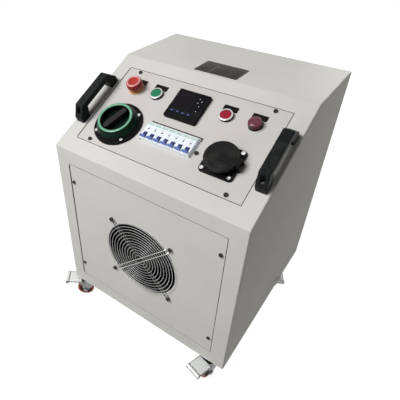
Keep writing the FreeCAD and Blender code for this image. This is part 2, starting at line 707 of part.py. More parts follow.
# Cabinet
def cabinet_shell():
    """The welded wrapper with three flush openings and their mounting lips."""
    body = new_body("cabinet_shell")
    wall, lip, gap = sheet_metal, D["lip_width"], D["panel_gap"]
    outer = new_sketch(body, "YZ_Plane")
    polygon(outer, [
        (-half_depth, ZERO), (-half_depth, D["front_height"]),
        (slope_run - half_depth, D["cabinet_height"]),
        (half_depth, D["cabinet_height"]), (half_depth, ZERO)])
    block = pad(body, outer, D["cabinet_width"], symmetric=True)

    def is_bend(edge):
        return edge.BoundBox.ZMax > TINY

    round_edges(body, block, D["edge_radius"], is_bend)
    slope_wall = wall * slope_length / slope_run
    slope_pitch = slope_rise / slope_run
    front_corner = D["front_height"] + wall * slope_pitch - slope_wall
    top_corner = slope_run - half_depth - (wall - slope_wall) / slope_pitch
    inner = new_sketch(body, "YZ_Plane")
    polygon(inner, [
        (wall - half_depth, ZERO), (wall - half_depth, front_corner),
        (top_corner, D["cabinet_height"] - wall),
        (half_depth - wall, D["cabinet_height"] - wall), (half_depth - wall, ZERO)])
    pocket(body, inner, D["cabinet_width"] - wall * 2, symmetric=True)

    def opening(lip_sketch, wall_sketch, width, length, along, lip_reverse, wall_reverse):
        """A mounting lip behind the wall, then the opening through the wall."""
        rectangle(lip_sketch, width + lip * 2, length + lip * 2, 0, along)
        rectangle(lip_sketch, width - lip * 2, length - lip * 2, 0, along)
        pad(body, lip_sketch, wall, reverse=lip_reverse)
        rectangle(wall_sketch, width + gap * 2, length + gap * 2, 0, along)
        pocket(body, wall_sketch, wall * 2, reverse=wall_reverse)

    def below_slope(depth):
        """A sketch parallel to the slope, this far under it."""
        along = depth * slope_rise / slope_length - half_depth
        up = D["front_height"] - depth * slope_run / slope_length
        return new_sketch(body, "XY_Plane", tilt=(along, up, slope_angle_text))

    opening(new_sketch(body, "XZ_Plane", half_depth - wall * 2),
            new_sketch(body, "XZ_Plane", half_depth - wall),
            panel_width, front_panel_height, front_centre, False, True)
    opening(new_sketch(body, "XZ_Plane", wall * 2 - half_depth),
            new_sketch(body, "XZ_Plane", wall - half_depth),
            panel_width, rear_panel_height, rear_centre, True, False)
    opening(below_slope(wall * 2), below_slope(wall),
            panel_width, D["control_length"], slope_centre, False, True)

    def tapped(sketch, places, along, reverse):
        for across, up in places:
            circle(sketch, D["screw_shank_radius"] + D["shaft_gap"], across, along + up)
        pocket(body, sketch, wall * 2, reverse=reverse)

    tapped(new_sketch(body, "XZ_Plane", half_depth - wall),
           corners_of(side_screw_x, front_screw_y), front_centre, False)
    tapped(new_sketch(body, "XZ_Plane", wall - half_depth),
           corners_of(side_screw_x, rear_screw_y), rear_centre, True)
    tapped(below_slope(wall), corners_of(control_screw_x, control_screw_y),
           slope_centre, False)
    handle_holes = below_slope(ZERO)
    for across, up in corners_of(handle_x, D["handle_pitch"] / 2):
        circle(handle_holes, D["handle_screw_radius"] + D["fit_gap"],
               across, slope_centre + D["handle_position"] + up)
    pocket(body, handle_holes, wall * 2)
    finish(body, "cabinet_shell")


def bolt_places():
    """Where the sixteen caster bolts pass through the floor pan."""
    return [(across + dx, back + dy)
            for _, across, back, _ in casters
            for dx, dy in square_of(D["mount_pitch"])]


def floor_pan():
    body = new_body("floor_pan")
    side_gap = (sheet_metal + D["fit_gap"]) * 2
    width, length = D["cabinet_width"] - side_gap, D["cabinet_depth"] - side_gap
    block = slab(body, width, length, ZERO, D["pan_rim"])
    round_edges(body, block, D["edge_radius"], is_upright)
    recess(body, width - sheet_metal * 2, length - sheet_metal * 2, D["pan_rim"],
           D["pan_rim"] - sheet_metal)
    hole(body, bolt_places(), D["bolt_hole"], sheet_metal, sheet_metal)
    finish(body, "floor_pan")


def flat_panel(name, width, length, screw_x, screw_y):
    """A flush panel with its four screw holes, its outer face at height zero."""
    body = new_body(name)
    slab(body, width, length, -sheet_metal, sheet_metal)
    hole(body, corners_of(screw_x, screw_y), D["screw_shank_radius"] + D["shaft_gap"],
         ZERO, sheet_metal)
    return body


def front_panel():
    body = flat_panel("front_panel", panel_width, front_panel_height, side_screw_x, front_screw_y)
    hole(body, [(0, 0)], D["fan_opening"], ZERO, sheet_metal)
    hole(body, square_of(D["fan_pitch"]), D["fan_screw_radius"] + D["shaft_gap"],
         ZERO, sheet_metal)
    finish(body, "front_panel", on_front(0, front_centre))


def rear_panel():
    """Two columns of pressed louvres, open at their lower edges."""
    body = flat_panel("rear_panel", panel_width, rear_panel_height, side_screw_x, rear_screw_y)
    wall, proud, rise = sheet_metal, D["louvre_proud"], D["louvre_height"]
    lowest = D["louvre_pitch"] * (D["louvre_rows"] - 1) / -2
    upper, lower = lowest + rise / 2, lowest - rise / 2
    skin = wall / 2
    features = []
    for side in (-1, 1):
        middle = (D["louvre_width"] + D["louvre_spacing"]) / 2 * side
        hood = [(upper, -skin), (upper, ZERO), (upper - skin, skin), (lower, proud),
                (lower, -skin)]
        features.append(profile(body, "YZ_Plane", hood, middle - D["louvre_width"] / 2,
                                D["louvre_width"]))
        throat = new_sketch(body, "YZ_Plane", middle + D["louvre_width"] / 2 - skin)
        polygon(throat, [(upper - wall, -wall), (upper - wall, ZERO), (lower, proud - wall),
                         (lower, -wall)])
        features.append(pocket(body, throat, D["louvre_width"] - wall))
    direction = (features[0].Profile[0], ["H_Axis"])
    repeat(body, features, direction, D["louvre_pitch"], D["louvre_rows"])
    finish(body, "rear_panel", on_rear(0, rear_centre))


def control_panel():
    """The sloping panel with a cut-out for every device that it carries."""
    body = flat_panel("control_panel", panel_width, D["control_length"],
                      control_screw_x, control_screw_y)
    devices = [(D[name], D["device_row"]) for name in ("estop_x", "start_x", "stop_x", "lamp_x")]
    hole(body, devices, D["device_hole"], ZERO, sheet_metal)
    switch = (D["switch_x"], D["switch_s"])
    hole(body, [switch], D["switch_drum"] + D["fit_gap"], ZERO, sheet_metal)
    socket = (D["socket_x"], D["socket_s"])
    hole(body, [socket], D["socket_drum"] + D["fit_gap"], ZERO, sheet_metal)
    flange_screws = around(*switch, square_of(D["switch_pitch"]))
    flange_screws += around(*socket, square_of(D["socket_pitch"]))
    hole(body, flange_screws, D["device_screw_radius"] + D["shaft_gap"], ZERO, sheet_metal)
    bracket = (D["bracket_screw_x"], D["bracket_screw_s"])
    hole(body, [bracket], D["screw_shank_radius"] + D["shaft_gap"], ZERO, sheet_metal)
    recess(body, D["meter_cutout"], D["meter_cutout"], ZERO, sheet_metal,
           D["meter_x"], D["meter_s"])
    recess(body, D["cutout_width"], D["cutout_length"], ZERO, sheet_metal,
           D["bank_centre_x"], D["bank_centre_s"] + D["cutout_shift"])
    finish(body, "control_panel", on_control(0, 0))


def panel_screws():
    """The dark screws of the three removable panels and of the rail's bracket."""
    sizes = (ZERO, D["screw_shank_radius"], D["screw_head_radius"], D["screw_head_height"],
             D["screw_length"])
    control_places = corners_of(control_screw_x, control_screw_y)
    control_places.append((D["bracket_screw_x"], D["bracket_screw_s"]))
    control = screws("control_screws", control_places, *sizes)
    control.Placement = on_control(0, 0)
    front = screws("front_screws", corners_of(side_screw_x, front_screw_y), *sizes)
    front.Placement = on_front(0, front_centre)
    rear = screws("rear_screws", corners_of(side_screw_x, rear_screw_y), *sizes)
    rear.Placement = on_rear(0, rear_centre)
    finish(together("panel_screws", [control, front, rear]), "panel_screws", Placement())


def handle(side_name, side):
    """A bridge handle: two feet, two legs that lean in and a level bar."""
    body = new_body(f"handle_{side_name}")
    half, height, bar = D["handle_length"] / 2, D["handle_height"], D["handle_bar"]
    foot, foot_height, lean = D["handle_foot"], D["handle_foot_height"], D["handle_lean"]
    outline = [
        (-half, ZERO), (-half, foot_height), (lean - half, height), (half - lean, height),
        (half, foot_height), (half, ZERO), (half - foot, ZERO),
        (half - foot, D["handle_seat"]), (half - lean - bar, height - bar),
        (lean + bar - half, height - bar), (foot - half, D["handle_seat"]), (foot - half, ZERO)]
    block = profile(body, "YZ_Plane", outline, None, D["handle_width"], symmetric=True)

    def is_top_bend(edge):
        box = edge.BoundBox
        return box.XLength > TINY and box.YLength < TINY and box.ZMin > height.value - TINY

    bends = round_edges(body, block, D["handle_bend"], is_top_bend)

    def is_outer_rim(edge):
        box = edge.BoundBox
        at_end = max(-box.YMin, box.YMax) > half.value - TINY
        at_top = box.ZMin > (height - bar / 2).value
        return box.XLength < TINY and box.ZMax > TINY and (at_end or at_top)

    round_edges(body, bends, D["handle_round"], is_outer_rim)
    seats = [(ZERO, -(D["handle_pitch"] / 2)), (ZERO, D["handle_pitch"] / 2)]
    hole(body, seats, D["handle_screw_head"] + D["fit_gap"], height, height - D["handle_seat"])
    hole(body, seats, D["handle_screw_radius"] + D["shaft_gap"], D["handle_seat"],
         D["handle_seat"])
    place = on_control(handle_x * side, D["handle_position"])
    finish(body, f"handle_{side_name}", place)


def handle_screws():
    """Cap head screws in the handles' feet, with nuts behind the slope."""
    places = corners_of(handle_x, D["handle_pitch"] / 2)
    shank_end = sheet_metal + D["nut_height"] * 2
    body = screws("handle_screws", places, D["handle_seat"], D["handle_screw_radius"],
                  D["handle_screw_head"], D["handle_screw_head"], D["handle_seat"] + shank_end)
    hexagons(body, places, D["handle_screw_head"], -sheet_metal - D["nut_height"],
             D["nut_height"])
    finish(body, "handle_screws", on_control(0, D["handle_position"]))


# Fan
def fan_guard():
    """Rings between two crossed hairpins; the front one steps down beyond the last ring."""
    body = new_body("fan_guard")
    wire, loop = D["guard_wire"], D["guard_loop"]
    half_length = D["fan_pitch"] * root(as_size(2)) / 2

    def hairpin(height, turn=None):
        spoke = new_sketch(body, "XY_Plane", turn=turn)
        slot(spoke, half_length, loop + wire / 2)
        slot(spoke, half_length, loop - wire / 2)
        pad(body, spoke, height)

    def pare(corners):
        sketch = new_sketch(body, "XZ_Plane")
        polygon(sketch, corners)
        pocket(body, sketch, (loop + wire) * 4, symmetric=True)

    hairpin(wire * 3)
    edge = D["guard_radius"] + wire / 2
    step, far = edge + wire * 2, half_length + loop + wire
    pare([(-(step + wire), -wire), (step + wire, -wire), (edge, wire * 2), (-edge, wire * 2)])
    for side in (-1, 1):
        pare([((edge + wire / 2) * side, wire * 3), ((step + wire / 2) * side, wire),
              (far * side, wire), (far * side, wire * 4), ((edge - wire / 2) * side, wire * 4)])
    rings = new_sketch(body, "XY_Plane", wire)
    steps = int(D["guard_rings"].value) - 1
    for number in range(steps + 1):
        radius = D["guard_inner"] + (D["guard_radius"] - D["guard_inner"]) * number / steps
        circle(rings, radius + wire / 2)
        circle(rings, radius - wire / 2)
    pad(body, rings, wire)
    hairpin(wire, turn=90)
    diagonal = Placement(Vector(), Rotation(Vector(0, 0, 1), 45))
    finish(body, "fan_guard", on_front(0, front_centre).multiply(diagonal))


def fan_frame():
    """Square flanges, the blade ring, and the motor on its four struts."""
    body = new_body("fan_frame")
    size, flange, depth = D["fan_size"], D["fan_flange"], D["fan_depth"]
    plate = slab(body, size, size, -flange, flange)
    round_edges(body, plate, D["fan_corner"], is_upright)
    boss(body, [(0, 0)], D["fan_bore"] + flange, -depth, depth)
    hole(body, square_of(D["fan_pitch"]), D["fan_screw_radius"] + D["shaft_gap"], ZERO, flange)
    hole(body, [(0, 0)], D["fan_bore"], ZERO, depth)
    reach = D["fan_bore"] + flange / 2
    slab(body, reach * 2, D["fan_strut"], -depth, flange)
    slab(body, D["fan_strut"], reach * 2, -depth, flange)
    boss(body, [(0, 0)], D["fan_hub"], -depth, D["motor_length"])
    boss(body, [(0, 0)], D["fan_shaft"], -depth, depth - D["hub_front"] - D["hub_face"])
    finish(body, "fan_frame", on_front(0, front_centre, -sheet_metal))


def blade_section(body, radius, chord, pitch):
    """A cambered blade outline on a plane that faces outwards at this radius."""
    sketch = new_sketch(body, "YZ_Plane", radius)
    middle = -(D["hub_front"] + D["hub_length"] / 2)
    half, thick = chord / 2, D["blade_thickness"] / 2
    flat_points = [(-half, -thick), (ZERO, D["blade_camber"] - thick), (half, -thick),
                   (half, thick), (ZERO, D["blade_camber"] + thick), (-half, thick)]
    polygon(sketch, [(run * cosine(pitch) - rise * sine(pitch),
                      middle + run * sine(pitch) + rise * cosine(pitch))
                     for run, rise in flat_points])
    return sketch


def fan_impeller():
    """A hub with twisted, cambered blades that are trimmed to a round sweep."""
    body = new_body("fan_impeller")
    hub, length = D["fan_hub"], D["hub_length"]
    front, back = -D["hub_front"], -(D["hub_front"] + length)
    step = D["hub_face"] / 2
    turned(body, [(ZERO, back), (hub, back), (hub, front - step), (hub - step, front),
                  (ZERO, front)])
    root_section = blade_section(body, hub - D["blade_thickness"], D["blade_chord_root"],
                                 D["blade_pitch_root"])
    tip_section = blade_section(body, D["blade_tip"] + D["blade_thickness"],
                                D["blade_chord_tip"], D["blade_pitch_tip"])
    blade = body.newObject("PartDesign::AdditiveLoft", "blade")
    blade.Profile = root_section
    blade.Sections = [tip_section]
    blade.Ruled = True
    axis = new_sketch(body, "XY_Plane")
    circle(axis, hub / 2)
    fan_out(body, [blade], axis, 360, D["blade_count"])
    doc.recompute()
    tip, beyond = D["blade_tip"], D["fan_bore"] * 2
    turned(body, [(tip, ZERO), (beyond, ZERO), (beyond, -D["fan_depth"]),
                  (tip, -D["fan_depth"])], groove=True)
    hole(body, [(0, 0)], D["fan_shaft"] + D["shaft_gap"], front - D["hub_face"] + D["fit_gap"],
         length)
    finish(body, "fan_impeller", on_front(0, front_centre, -sheet_metal))


def fan_screws():
    """Dark screws on the guard's hairpin loops, with nuts behind the fan's flange."""
    places = square_of(D["fan_pitch"])
    behind = sheet_metal + D["fan_flange"]
    body = screws("fan_screws", places, D["guard_wire"], D["fan_screw_radius"],
                  D["fan_screw_head"], D["screw_head_height"],
                  D["guard_wire"] + behind + D["nut_height"] + D["screw_tail"])
    hexagons(body, places, D["fan_nut"], -behind - D["nut_height"], D["nut_height"])
    finish(body, "fan_screws", on_front(0, front_centre))


# Resistor bank
def element_places():
    """The middle of every resistor tube, seen from the side of the bank."""
    rows, columns = int(D["element_rows"].value), int(D["element_columns"].value)
    places = []
    for row in range(rows):
        for column in range(columns):
            along = D["bank_depth"] * ((column + 1) / (columns + 1) - 0.5)
            up = D["bank_height"] * ((row + 0.5) / rows)
            places.append((along, up))
    return places


def resistor_frame():
    """Two end plates with bent feet, joined by four tie rods."""
    body = new_body("resistor_frame")
    width, depth, height = D["bank_width"], D["bank_depth"], D["bank_height"]
    wall, foot = sheet_metal, D["bank_foot"]

    def end_plate(side, start):
        slab(body, depth, height, start, wall, 0, height / 2, plane="YZ_Plane")
        slab(body, foot, depth, ZERO, wall, (width / 2 - foot / 2) * side, 0)

    end_plate(-1, -(width / 2))
    inset = D["tie_radius"] * 2
    rods = around(ZERO, height / 2, corners_of(depth / 2 - inset, height / 2 - inset))
    boss(body, rods, D["tie_radius"], None, width, plane="YZ_Plane", symmetric=True)
    end_plate(1, width / 2 - wall)
    hole(body, element_places(), D["element_radius"] + D["fit_gap"], None, width,
         plane="YZ_Plane", symmetric=True)
    finish(body, "resistor_frame", in_cabinet(0, D["bank_setback"], sheet_metal))


def resistor_elements():
    """Resistor tubes with a terminal pin at each end."""
    body = new_body("resistor_elements", several=True)
    length = D["bank_width"] + D["element_overhang"] * 2
    places = element_places()
    boss(body, places, D["element_radius"], None, length, plane="YZ_Plane", symmetric=True)
    boss(body, places, D["tie_radius"], None, length + D["element_overhang"],
         plane="YZ_Plane", symmetric=True)
    finish(body, "resistor_elements", in_cabinet(0, D["bank_setback"], sheet_metal))


# Breakers
def din_rail():
    """A top hat rail, held to the control panel's back by two angle brackets."""
    body = new_body("din_rail")
    top, skin = -D["rail_depth"], D["rail_sheet"]
    half, inner = D["rail_width"] / 2, D["rail_width"] / 2 - D["rail_brim"]
    base = top - D["rail_height"]
    hat = [(-half, top - skin), (-inner - skin, top - skin), (-inner - skin, base),
           (inner + skin, base), (inner + skin, top - skin), (half, top - skin), (half, top),
           (inner, top), (inner, base + skin), (-inner, base + skin), (-inner, top),
           (-half, top)]
    profile(body, "YZ_Plane", hat, None, D["rail_length"], symmetric=True)
    wall = sheet_metal
    stand = D["cutout_width"] / 2 + D["fit_gap"] * 2
    across = D["bracket_screw_x"] - D["bank_centre_x"]
    foot = (across - stand) * 2
    for side in (-1, 1):
        slab(body, wall, D["rail_width"], top, D["rail_depth"] - wall, (stand + wall / 2) * side)
        slab(body, foot, D["rail_width"], -wall * 2, wall, across * side)
    hole(body, [(across, D["bracket_screw_s"] - D["bank_centre_s"])],
         D["screw_shank_radius"] + D["shaft_gap"], -wall, wall)
    finish(body, "din_rail", on_control(D["bank_centre_x"], D["bank_centre_s"]))


def first_pole_x():
    return -(D["pole_pitch"] * (D["pole_count"] - 1) / 2)


def breaker_bodies():
    """Moulded breaker housings side by side, each with a nose, shoulders and a rail notch."""
    body = new_body("breaker_bodies", several=True)
    half, nose = D["pole_length"] / 2, D["nose_length"] / 2
    top, shoulder = D["nose_height"], -D["shoulder_depth"]
    seat = -D["rail_depth"]
    base = seat - D["rail_sheet"] - D["fit_gap"]
    notch = D["rail_width"] / 2 + D["fit_gap"]
    bevel = D["nose_bevel"]
    width = D["pole_pitch"] - D["pole_gap"]
    side = [(-half, base), (-notch, base), (-notch, seat), (notch, seat), (notch, base),
            (half, base), (half, shoulder), (nose, shoulder), (nose, top - bevel),
            (nose - bevel, top), (bevel - nose, top), (-nose, top - bevel), (-nose, shoulder),
            (-half, shoulder)]
    start = first_pole_x()
    block = profile(body, "YZ_Plane", side, start - width / 2, width)
    slot_cut = recess(body, D["toggle_width"] + D["fit_gap"] * 2, D["toggle_slot"], top,
                      D["toggle_depth"] + D["toggle_radius"] + D["fit_gap"], start,
                      -D["toggle_offset"])
    window = recess(body, D["window_width"], D["window_length"], top, D["fit_gap"], start,
                    D["window_offset"])
    terminals = hole(body, [(start, half - bevel * 2), (start, bevel * 2 - half)],
                     D["terminal_radius"], shoulder, D["terminal_depth"])
    repeat(body, [block, slot_cut, window, terminals], (slot_cut.Profile[0], ["H_Axis"]),
           D["pole_pitch"], D["pole_count"])
    finish(body, "breaker_bodies", on_control(D["bank_centre_x"], D["bank_centre_s"]))


def breaker_toggle(number):
    """A round hub with a lever that ends in a cross bar."""
    name = f"breaker_toggle_{number}"
    body = new_body(name)
    boss(body, [(0, 0)], D["toggle_radius"], None, D["toggle_width"], plane="YZ_Plane",
         symmetric=True)
    reach, stem, bar = D["toggle_reach"], D["toggle_stem"] / 2, D["toggle_bar_size"]
    tip = reach + bar
    lever = [(-stem, ZERO), (stem, ZERO), (stem, tip), (-stem, tip)]
    profile(body, "YZ_Plane", lever, None, D["toggle_lever"], symmetric=True)
    head = [(-bar / 2, reach), (bar / 2, reach), (bar / 2, tip - bar / 5),
            (bar / 3, tip), (-bar / 3, tip), (-bar / 2, tip - bar / 5)]
    profile(body, "YZ_Plane", head, None, D["toggle_bar"], symmetric=True)
    across = D["bank_centre_x"] + first_pole_x() + D["pole_pitch"] * (number - 1)
    pivot = on_control(across, D["bank_centre_s"] - D["toggle_offset"],
                     D["nose_height"] - D["toggle_depth"])
    lean = Placement(Vector(), Rotation(Vector(1, 0, 0), D["toggle_rest"].value))
    finish(body, name, pivot.multiply(lean))


# Meter
def key_places():
    first = D["key_shift"] - D["key_pitch"] * (D["key_count"] - 1) / 2
    return [(first + D["key_pitch"] * step, -D["key_offset"])
            for step in range(int(D["key_count"].value))]


def meter_case():
    """The meter's bezel with its display recess and key wells, and its case behind."""
    body = new_body("meter_case")
    side, height = D["meter_bezel"], D["meter_height"]
    plate = slab(body, side, side, ZERO, height)
    round_edges(body, plate, D["meter_round"], is_upright)
    slab(body, D["meter_case"], D["meter_case"], -D["meter_depth"], D["meter_depth"])
    recess(body, D["display_width"], D["display_length"], height, D["display_recess"], 0,
           D["display_offset"])
    wells = new_sketch(body, "XY_Plane", height)
    for across, along in key_places():
        rectangle(wells, D["key_width"] + D["key_gap"] * 2, D["key_length"] + D["key_gap"] * 2,
                  across, along)
    pocket(body, wells, D["key_depth"] + D["key_travel"] + D["fit_gap"])
    finish(body, "meter_case", on_control(D["meter_x"], D["meter_s"]))


def meter_face():
    body = new_body("meter_face")
    floor = D["meter_height"] - D["display_recess"]
    slab(body, D["display_width"] - D["fit_gap"] * 2, D["display_length"] - D["fit_gap"] * 2,
         floor, D["display_thickness"], 0, D["display_offset"])
    finish(body, "meter_face", on_control(D["meter_x"], D["meter_s"]))


def meter_key(number, across, along):
    name = f"meter_key_{number}"
    body = new_body(name)
    height = D["key_depth"] + D["key_proud"]
    block = slab(body, D["key_width"], D["key_length"], -D["key_depth"], height)

    def is_top(edge):
        return edge.BoundBox.ZMin > D["key_proud"].value - TINY

    round_edges(body, block, D["key_proud"] / 3, is_top)
    place = on_control(D["meter_x"] + across, D["meter_s"] + along, D["meter_height"])
    finish(body, name, place)


# Control devices
def contact_block(body):
    """The threaded barrel, its ring nut and the contact block behind the panel."""
    nut = D["device_nut_height"]
    back = -sheet_metal - nut - D["block_depth"]
    boss(body, [(0, 0)], D["device_barrel"], back, -back)
    hexagons(body, [(0, 0)], D["device_nut"], -sheet_metal - nut, nut)
    slab(body, D["block_width"], D["block_length"], back, D["block_depth"])


def estop():
    """The emergency stop: a fixed collar, a stem that slides and a head that twists."""
    place = on_control(D["estop_x"], D["device_row"])
    skirt, travel, stem = D["estop_skirt"], D["estop_travel"], D["estop_stem"]
    collar_top = skirt - travel - D["fit_gap"]
    collar = new_body("estop_collar")
    base, neck, flange = D["device_base"], D["collar_neck"], D["collar_flange"]
    under = D["label_thickness"] + D["fit_gap"]
    over = under + D["collar_flange_height"]
    turned(collar, [(ZERO, ZERO), (base, ZERO), (base, under), (flange, under), (flange, over),
                    (base, over), (neck, collar_top), (ZERO, collar_top)])
    contact_block(collar)
    hole(collar, [(0, 0)], stem + D["shaft_gap"], collar_top, collar_top + skirt)
    finish(collar, "estop_collar", place)
    slider = new_body("estop_stem")
    foot = travel + D["fit_gap"] - skirt
    boss(slider, [(0, 0)], stem, foot, skirt - foot)
    pin, socket = D["head_pin"], D["head_socket"]
    boss(slider, [(0, 0)], pin, skirt, socket)
    finish(slider, "estop_stem", place)
    head = new_body("estop_head")
    radius, top, ring = D["estop_radius"], D["estop_height"], D["head_ring"]
    crown = D["head_round"]
    turned(head, [
        (ZERO, skirt), (radius - crown, skirt), (radius, skirt + crown),
        (radius, skirt + crown * 3), (radius - crown / 2, top - crown * 2.4),
        (radius - crown * 1.7, top - crown * 1.2), (ring + crown / 2, top - crown / 3),
        (ring, top), (ring - crown, top), (ring - crown * 1.6, top - crown / 2),
        (ZERO, top - crown / 2)])
    mouth = new_sketch(head, "XY_Plane", skirt)
    circle(mouth, pin + D["shaft_gap"])
    pocket(head, mouth, socket + D["fit_gap"], reverse=True)
    finish(head, "estop_head", place)


def push_button(name, across):
    """A push button: a black base with a bright bezel, and a cap that slides in it."""
    place = on_control(across, D["device_row"])
    body = new_body(f"{name}_button_body")
    base, bezel, top = D["device_base"], D["bezel_radius"], D["bezel_height"]
    edge = D["bezel_edge"]
    turned(body, [(ZERO, ZERO), (base, ZERO), (base, top / 2), (bezel, top / 2),
                  (bezel, top - edge), (bezel - edge, top), (ZERO, top)])
    contact_block(body)
    well = D["cap_height"] + D["cap_travel"] - D["cap_proud"] + D["fit_gap"]
    hole(body, [(0, 0)], D["cap_radius"] + D["shaft_gap"], top, well)
    stem = D["cap_stem_length"] + D["cap_travel"] + D["fit_gap"]
    hole(body, [(0, 0)], D["cap_stem"] + D["shaft_gap"], top - well, stem)
    finish(body, f"{name}_button_body", place)
    cap = new_body(f"{name}_button_cap")
    crown = top + D["cap_proud"]
    foot = crown - D["cap_height"]
    radius, stem_foot = D["cap_radius"], foot - D["cap_stem_length"]
    dome = [(radius * share, crown - D["cap_dome"] * drop) for share, drop in CROWN]
    turned(cap, [(ZERO, stem_foot), (D["cap_stem"], stem_foot), (D["cap_stem"], foot),
                 (radius, foot)] + dome + [(ZERO, crown)])
    finish(cap, f"{name}_button_cap", place)


def lamp():
    """The signal lamp: a black base and a domed lens on it."""
    place = on_control(D["lamp_x"], D["device_row"])
    body = new_body("lamp_body")
    base, rim, radius = D["device_base"], D["lamp_rim"], D["lens_radius"]
    boss(body, [(0, 0)], base, ZERO, rim)
    contact_block(body)
    finish(body, "lamp_body", place)
    lens = new_body("lamp_lens")
    shoulder = rim + D["lens_side"]
    dome = D["lens_height"] - shoulder
    corners = [(ZERO, rim), (radius, rim)]
    for angle in range(0, 91, 15):
        run, rise = math.cos(math.radians(angle)), math.sin(math.radians(angle))
        corners.append((radius * round(run, 6), shoulder + dome * rise))
    turned(lens, corners)
    finish(lens, "lamp_lens", place)


def label_plates():
    body = new_body("label_plates", several=True)
    sketch = new_sketch(body, "XY_Plane")
    for name in ("estop_x", "start_x", "stop_x", "lamp_x"):
        rectangle(sketch, D["label_width"], D["label_length"], D[name],
                  D["device_row"] + D["label_offset"])
    plates = pad(body, sketch, D["label_thickness"])
    round_edges(body, plates, D["label_thickness"] * 2, is_upright)
    finish(body, "label_plates", on_control(0, 0))


def nameplate():
    """The bare plate on the cabinet's flat top."""
    body = new_body("nameplate")
    plate = slab(body, D["nameplate_width"], D["nameplate_length"], ZERO, D["label_thickness"])
    round_edges(body, plate, D["edge_radius"], is_upright)
    middle = slope_run - half_depth + D["nameplate_setback"] + D["nameplate_length"] / 2
    finish(body, "nameplate", in_cabinet(0, middle, D["cabinet_height"]))


# Main switch
def switch_base():
    """A round flange and cone that rise to a ring round the grip's recess."""
    body = new_body("switch_base")
    flange, ring, well = D["switch_flange"], D["switch_ring"], D["switch_well"]
    top, floor, plate = D["switch_height"], D["switch_floor"], D["flange_thickness"]
    waist, edge = D["switch_waist"], D["flange_thickness"] / 4
    turned(body, [
        (ZERO, ZERO), (flange, ZERO), (flange, plate - edge), (flange - edge, plate),
        (waist, plate), (ring, top - edge), (ring - edge, top), (well + edge, top),
        (well, top - edge), (well, floor), (ZERO, floor)])
    hole(body, square_of(D["switch_pitch"]), D["device_screw_head"] + D["fit_gap"], top,
         top - plate)
    boss(body, [(0, 0)], D["switch_drum"], -D["switch_depth"], D["switch_depth"])
    hole(body, square_of(D["switch_pitch"]), D["device_screw_radius"] + D["shaft_gap"], plate,
         plate)
    hole(body, [(0, 0)], D["grip_spindle"] + D["shaft_gap"], floor,
         D["spindle_length"] + D["fit_gap"])
    finish(body, "switch_base", on_control(D["switch_x"], D["switch_s"]))


def switch_handle():
    """A disc with a bar grip across it and a spindle under it."""
    body = new_body("switch_handle")
    floor = D["switch_floor"] + D["fit_gap"]
    disc = D["grip_disc"]
    boss(body, [(0, 0)], D["switch_well"] - D["grip_clearance"], floor, disc)
    grip = new_sketch(body, "XY_Plane", floor + disc, turn=90)
    half, width = D["grip_length"] / 2, D["grip_width"] / 2
    slot(grip, half - width, width)
    bar = pad(body, grip, D["grip_height"] - floor - disc)

    def is_crown(edge):
        return edge.BoundBox.ZMin > D["grip_height"].value - TINY

    round_edges(body, bar, D["grip_round"], is_crown)
    boss(body, [(0, 0)], D["grip_spindle"], floor - D["spindle_length"], D["spindle_length"])
    place = on_control(D["switch_x"], D["switch_s"], 0, -D["grip_turn"].value)
    finish(body, "switch_handle", place)


# Socket
def socket_housing():
    """A square flange, a collar round the well, contact pins and hinge ears."""
    body = new_body("socket_housing")
    plate, collar_top = D["flange_thickness"], D["socket_collar_height"]
    side, well, depth = D["socket_flange"], D["socket_well"], D["socket_well_depth"]
    flange = slab(body, side, side, ZERO, plate)
    round_edges(body, flange, D["fan_corner"], is_upright)
    boss(body, [(0, 0)], D["socket_collar"], ZERO, collar_top)
    drum_depth = depth + D["flange_thickness"]
    boss(body, [(0, 0)], D["socket_drum"], -drum_depth, drum_depth)
    hole(body, square_of(D["socket_pitch"]), D["device_screw_radius"] + D["shaft_gap"], plate,
         plate)
    hole(body, [(0, 0)], well, collar_top, collar_top + depth)
    pins_at = []
    for step in range(int(D["contact_count"].value)):
        angle = math.pi / 2 + 2 * math.pi * step / D["contact_count"].value
        pins_at.append((D["contact_circle"] * round(math.cos(angle), 6),
                        D["contact_circle"] * round(math.sin(angle), 6)))
    boss(body, pins_at, D["contact_radius"], -depth, D["contact_length"])
    axis, knuckle = D["hinge_x"], D["hinge_radius"]
    height = hinge_height
    ear = (D["hinge_length"] - D["knuckle_length"]) / 2 - D["fit_gap"]
    for side_sign in (-1, 1):
        middle = (D["hinge_length"] / 2 - ear / 2) * side_sign
        start = -middle - ear / 2
        lug = [(axis - knuckle, ZERO), (axis + knuckle, ZERO), (axis + knuckle, height),
               (axis + knuckle / 2, height + knuckle), (axis - knuckle / 2, height + knuckle),
               (axis - knuckle, height)]
        profile(body, "XZ_Plane", lug, start, ear)
    hole(body, [(axis, height)], D["hinge_pin"] + D["shaft_gap"], None, D["hinge_length"] * 2,
         plane="XZ_Plane", symmetric=True)
    finish(body, "socket_housing", on_control(D["socket_x"], D["socket_s"]))


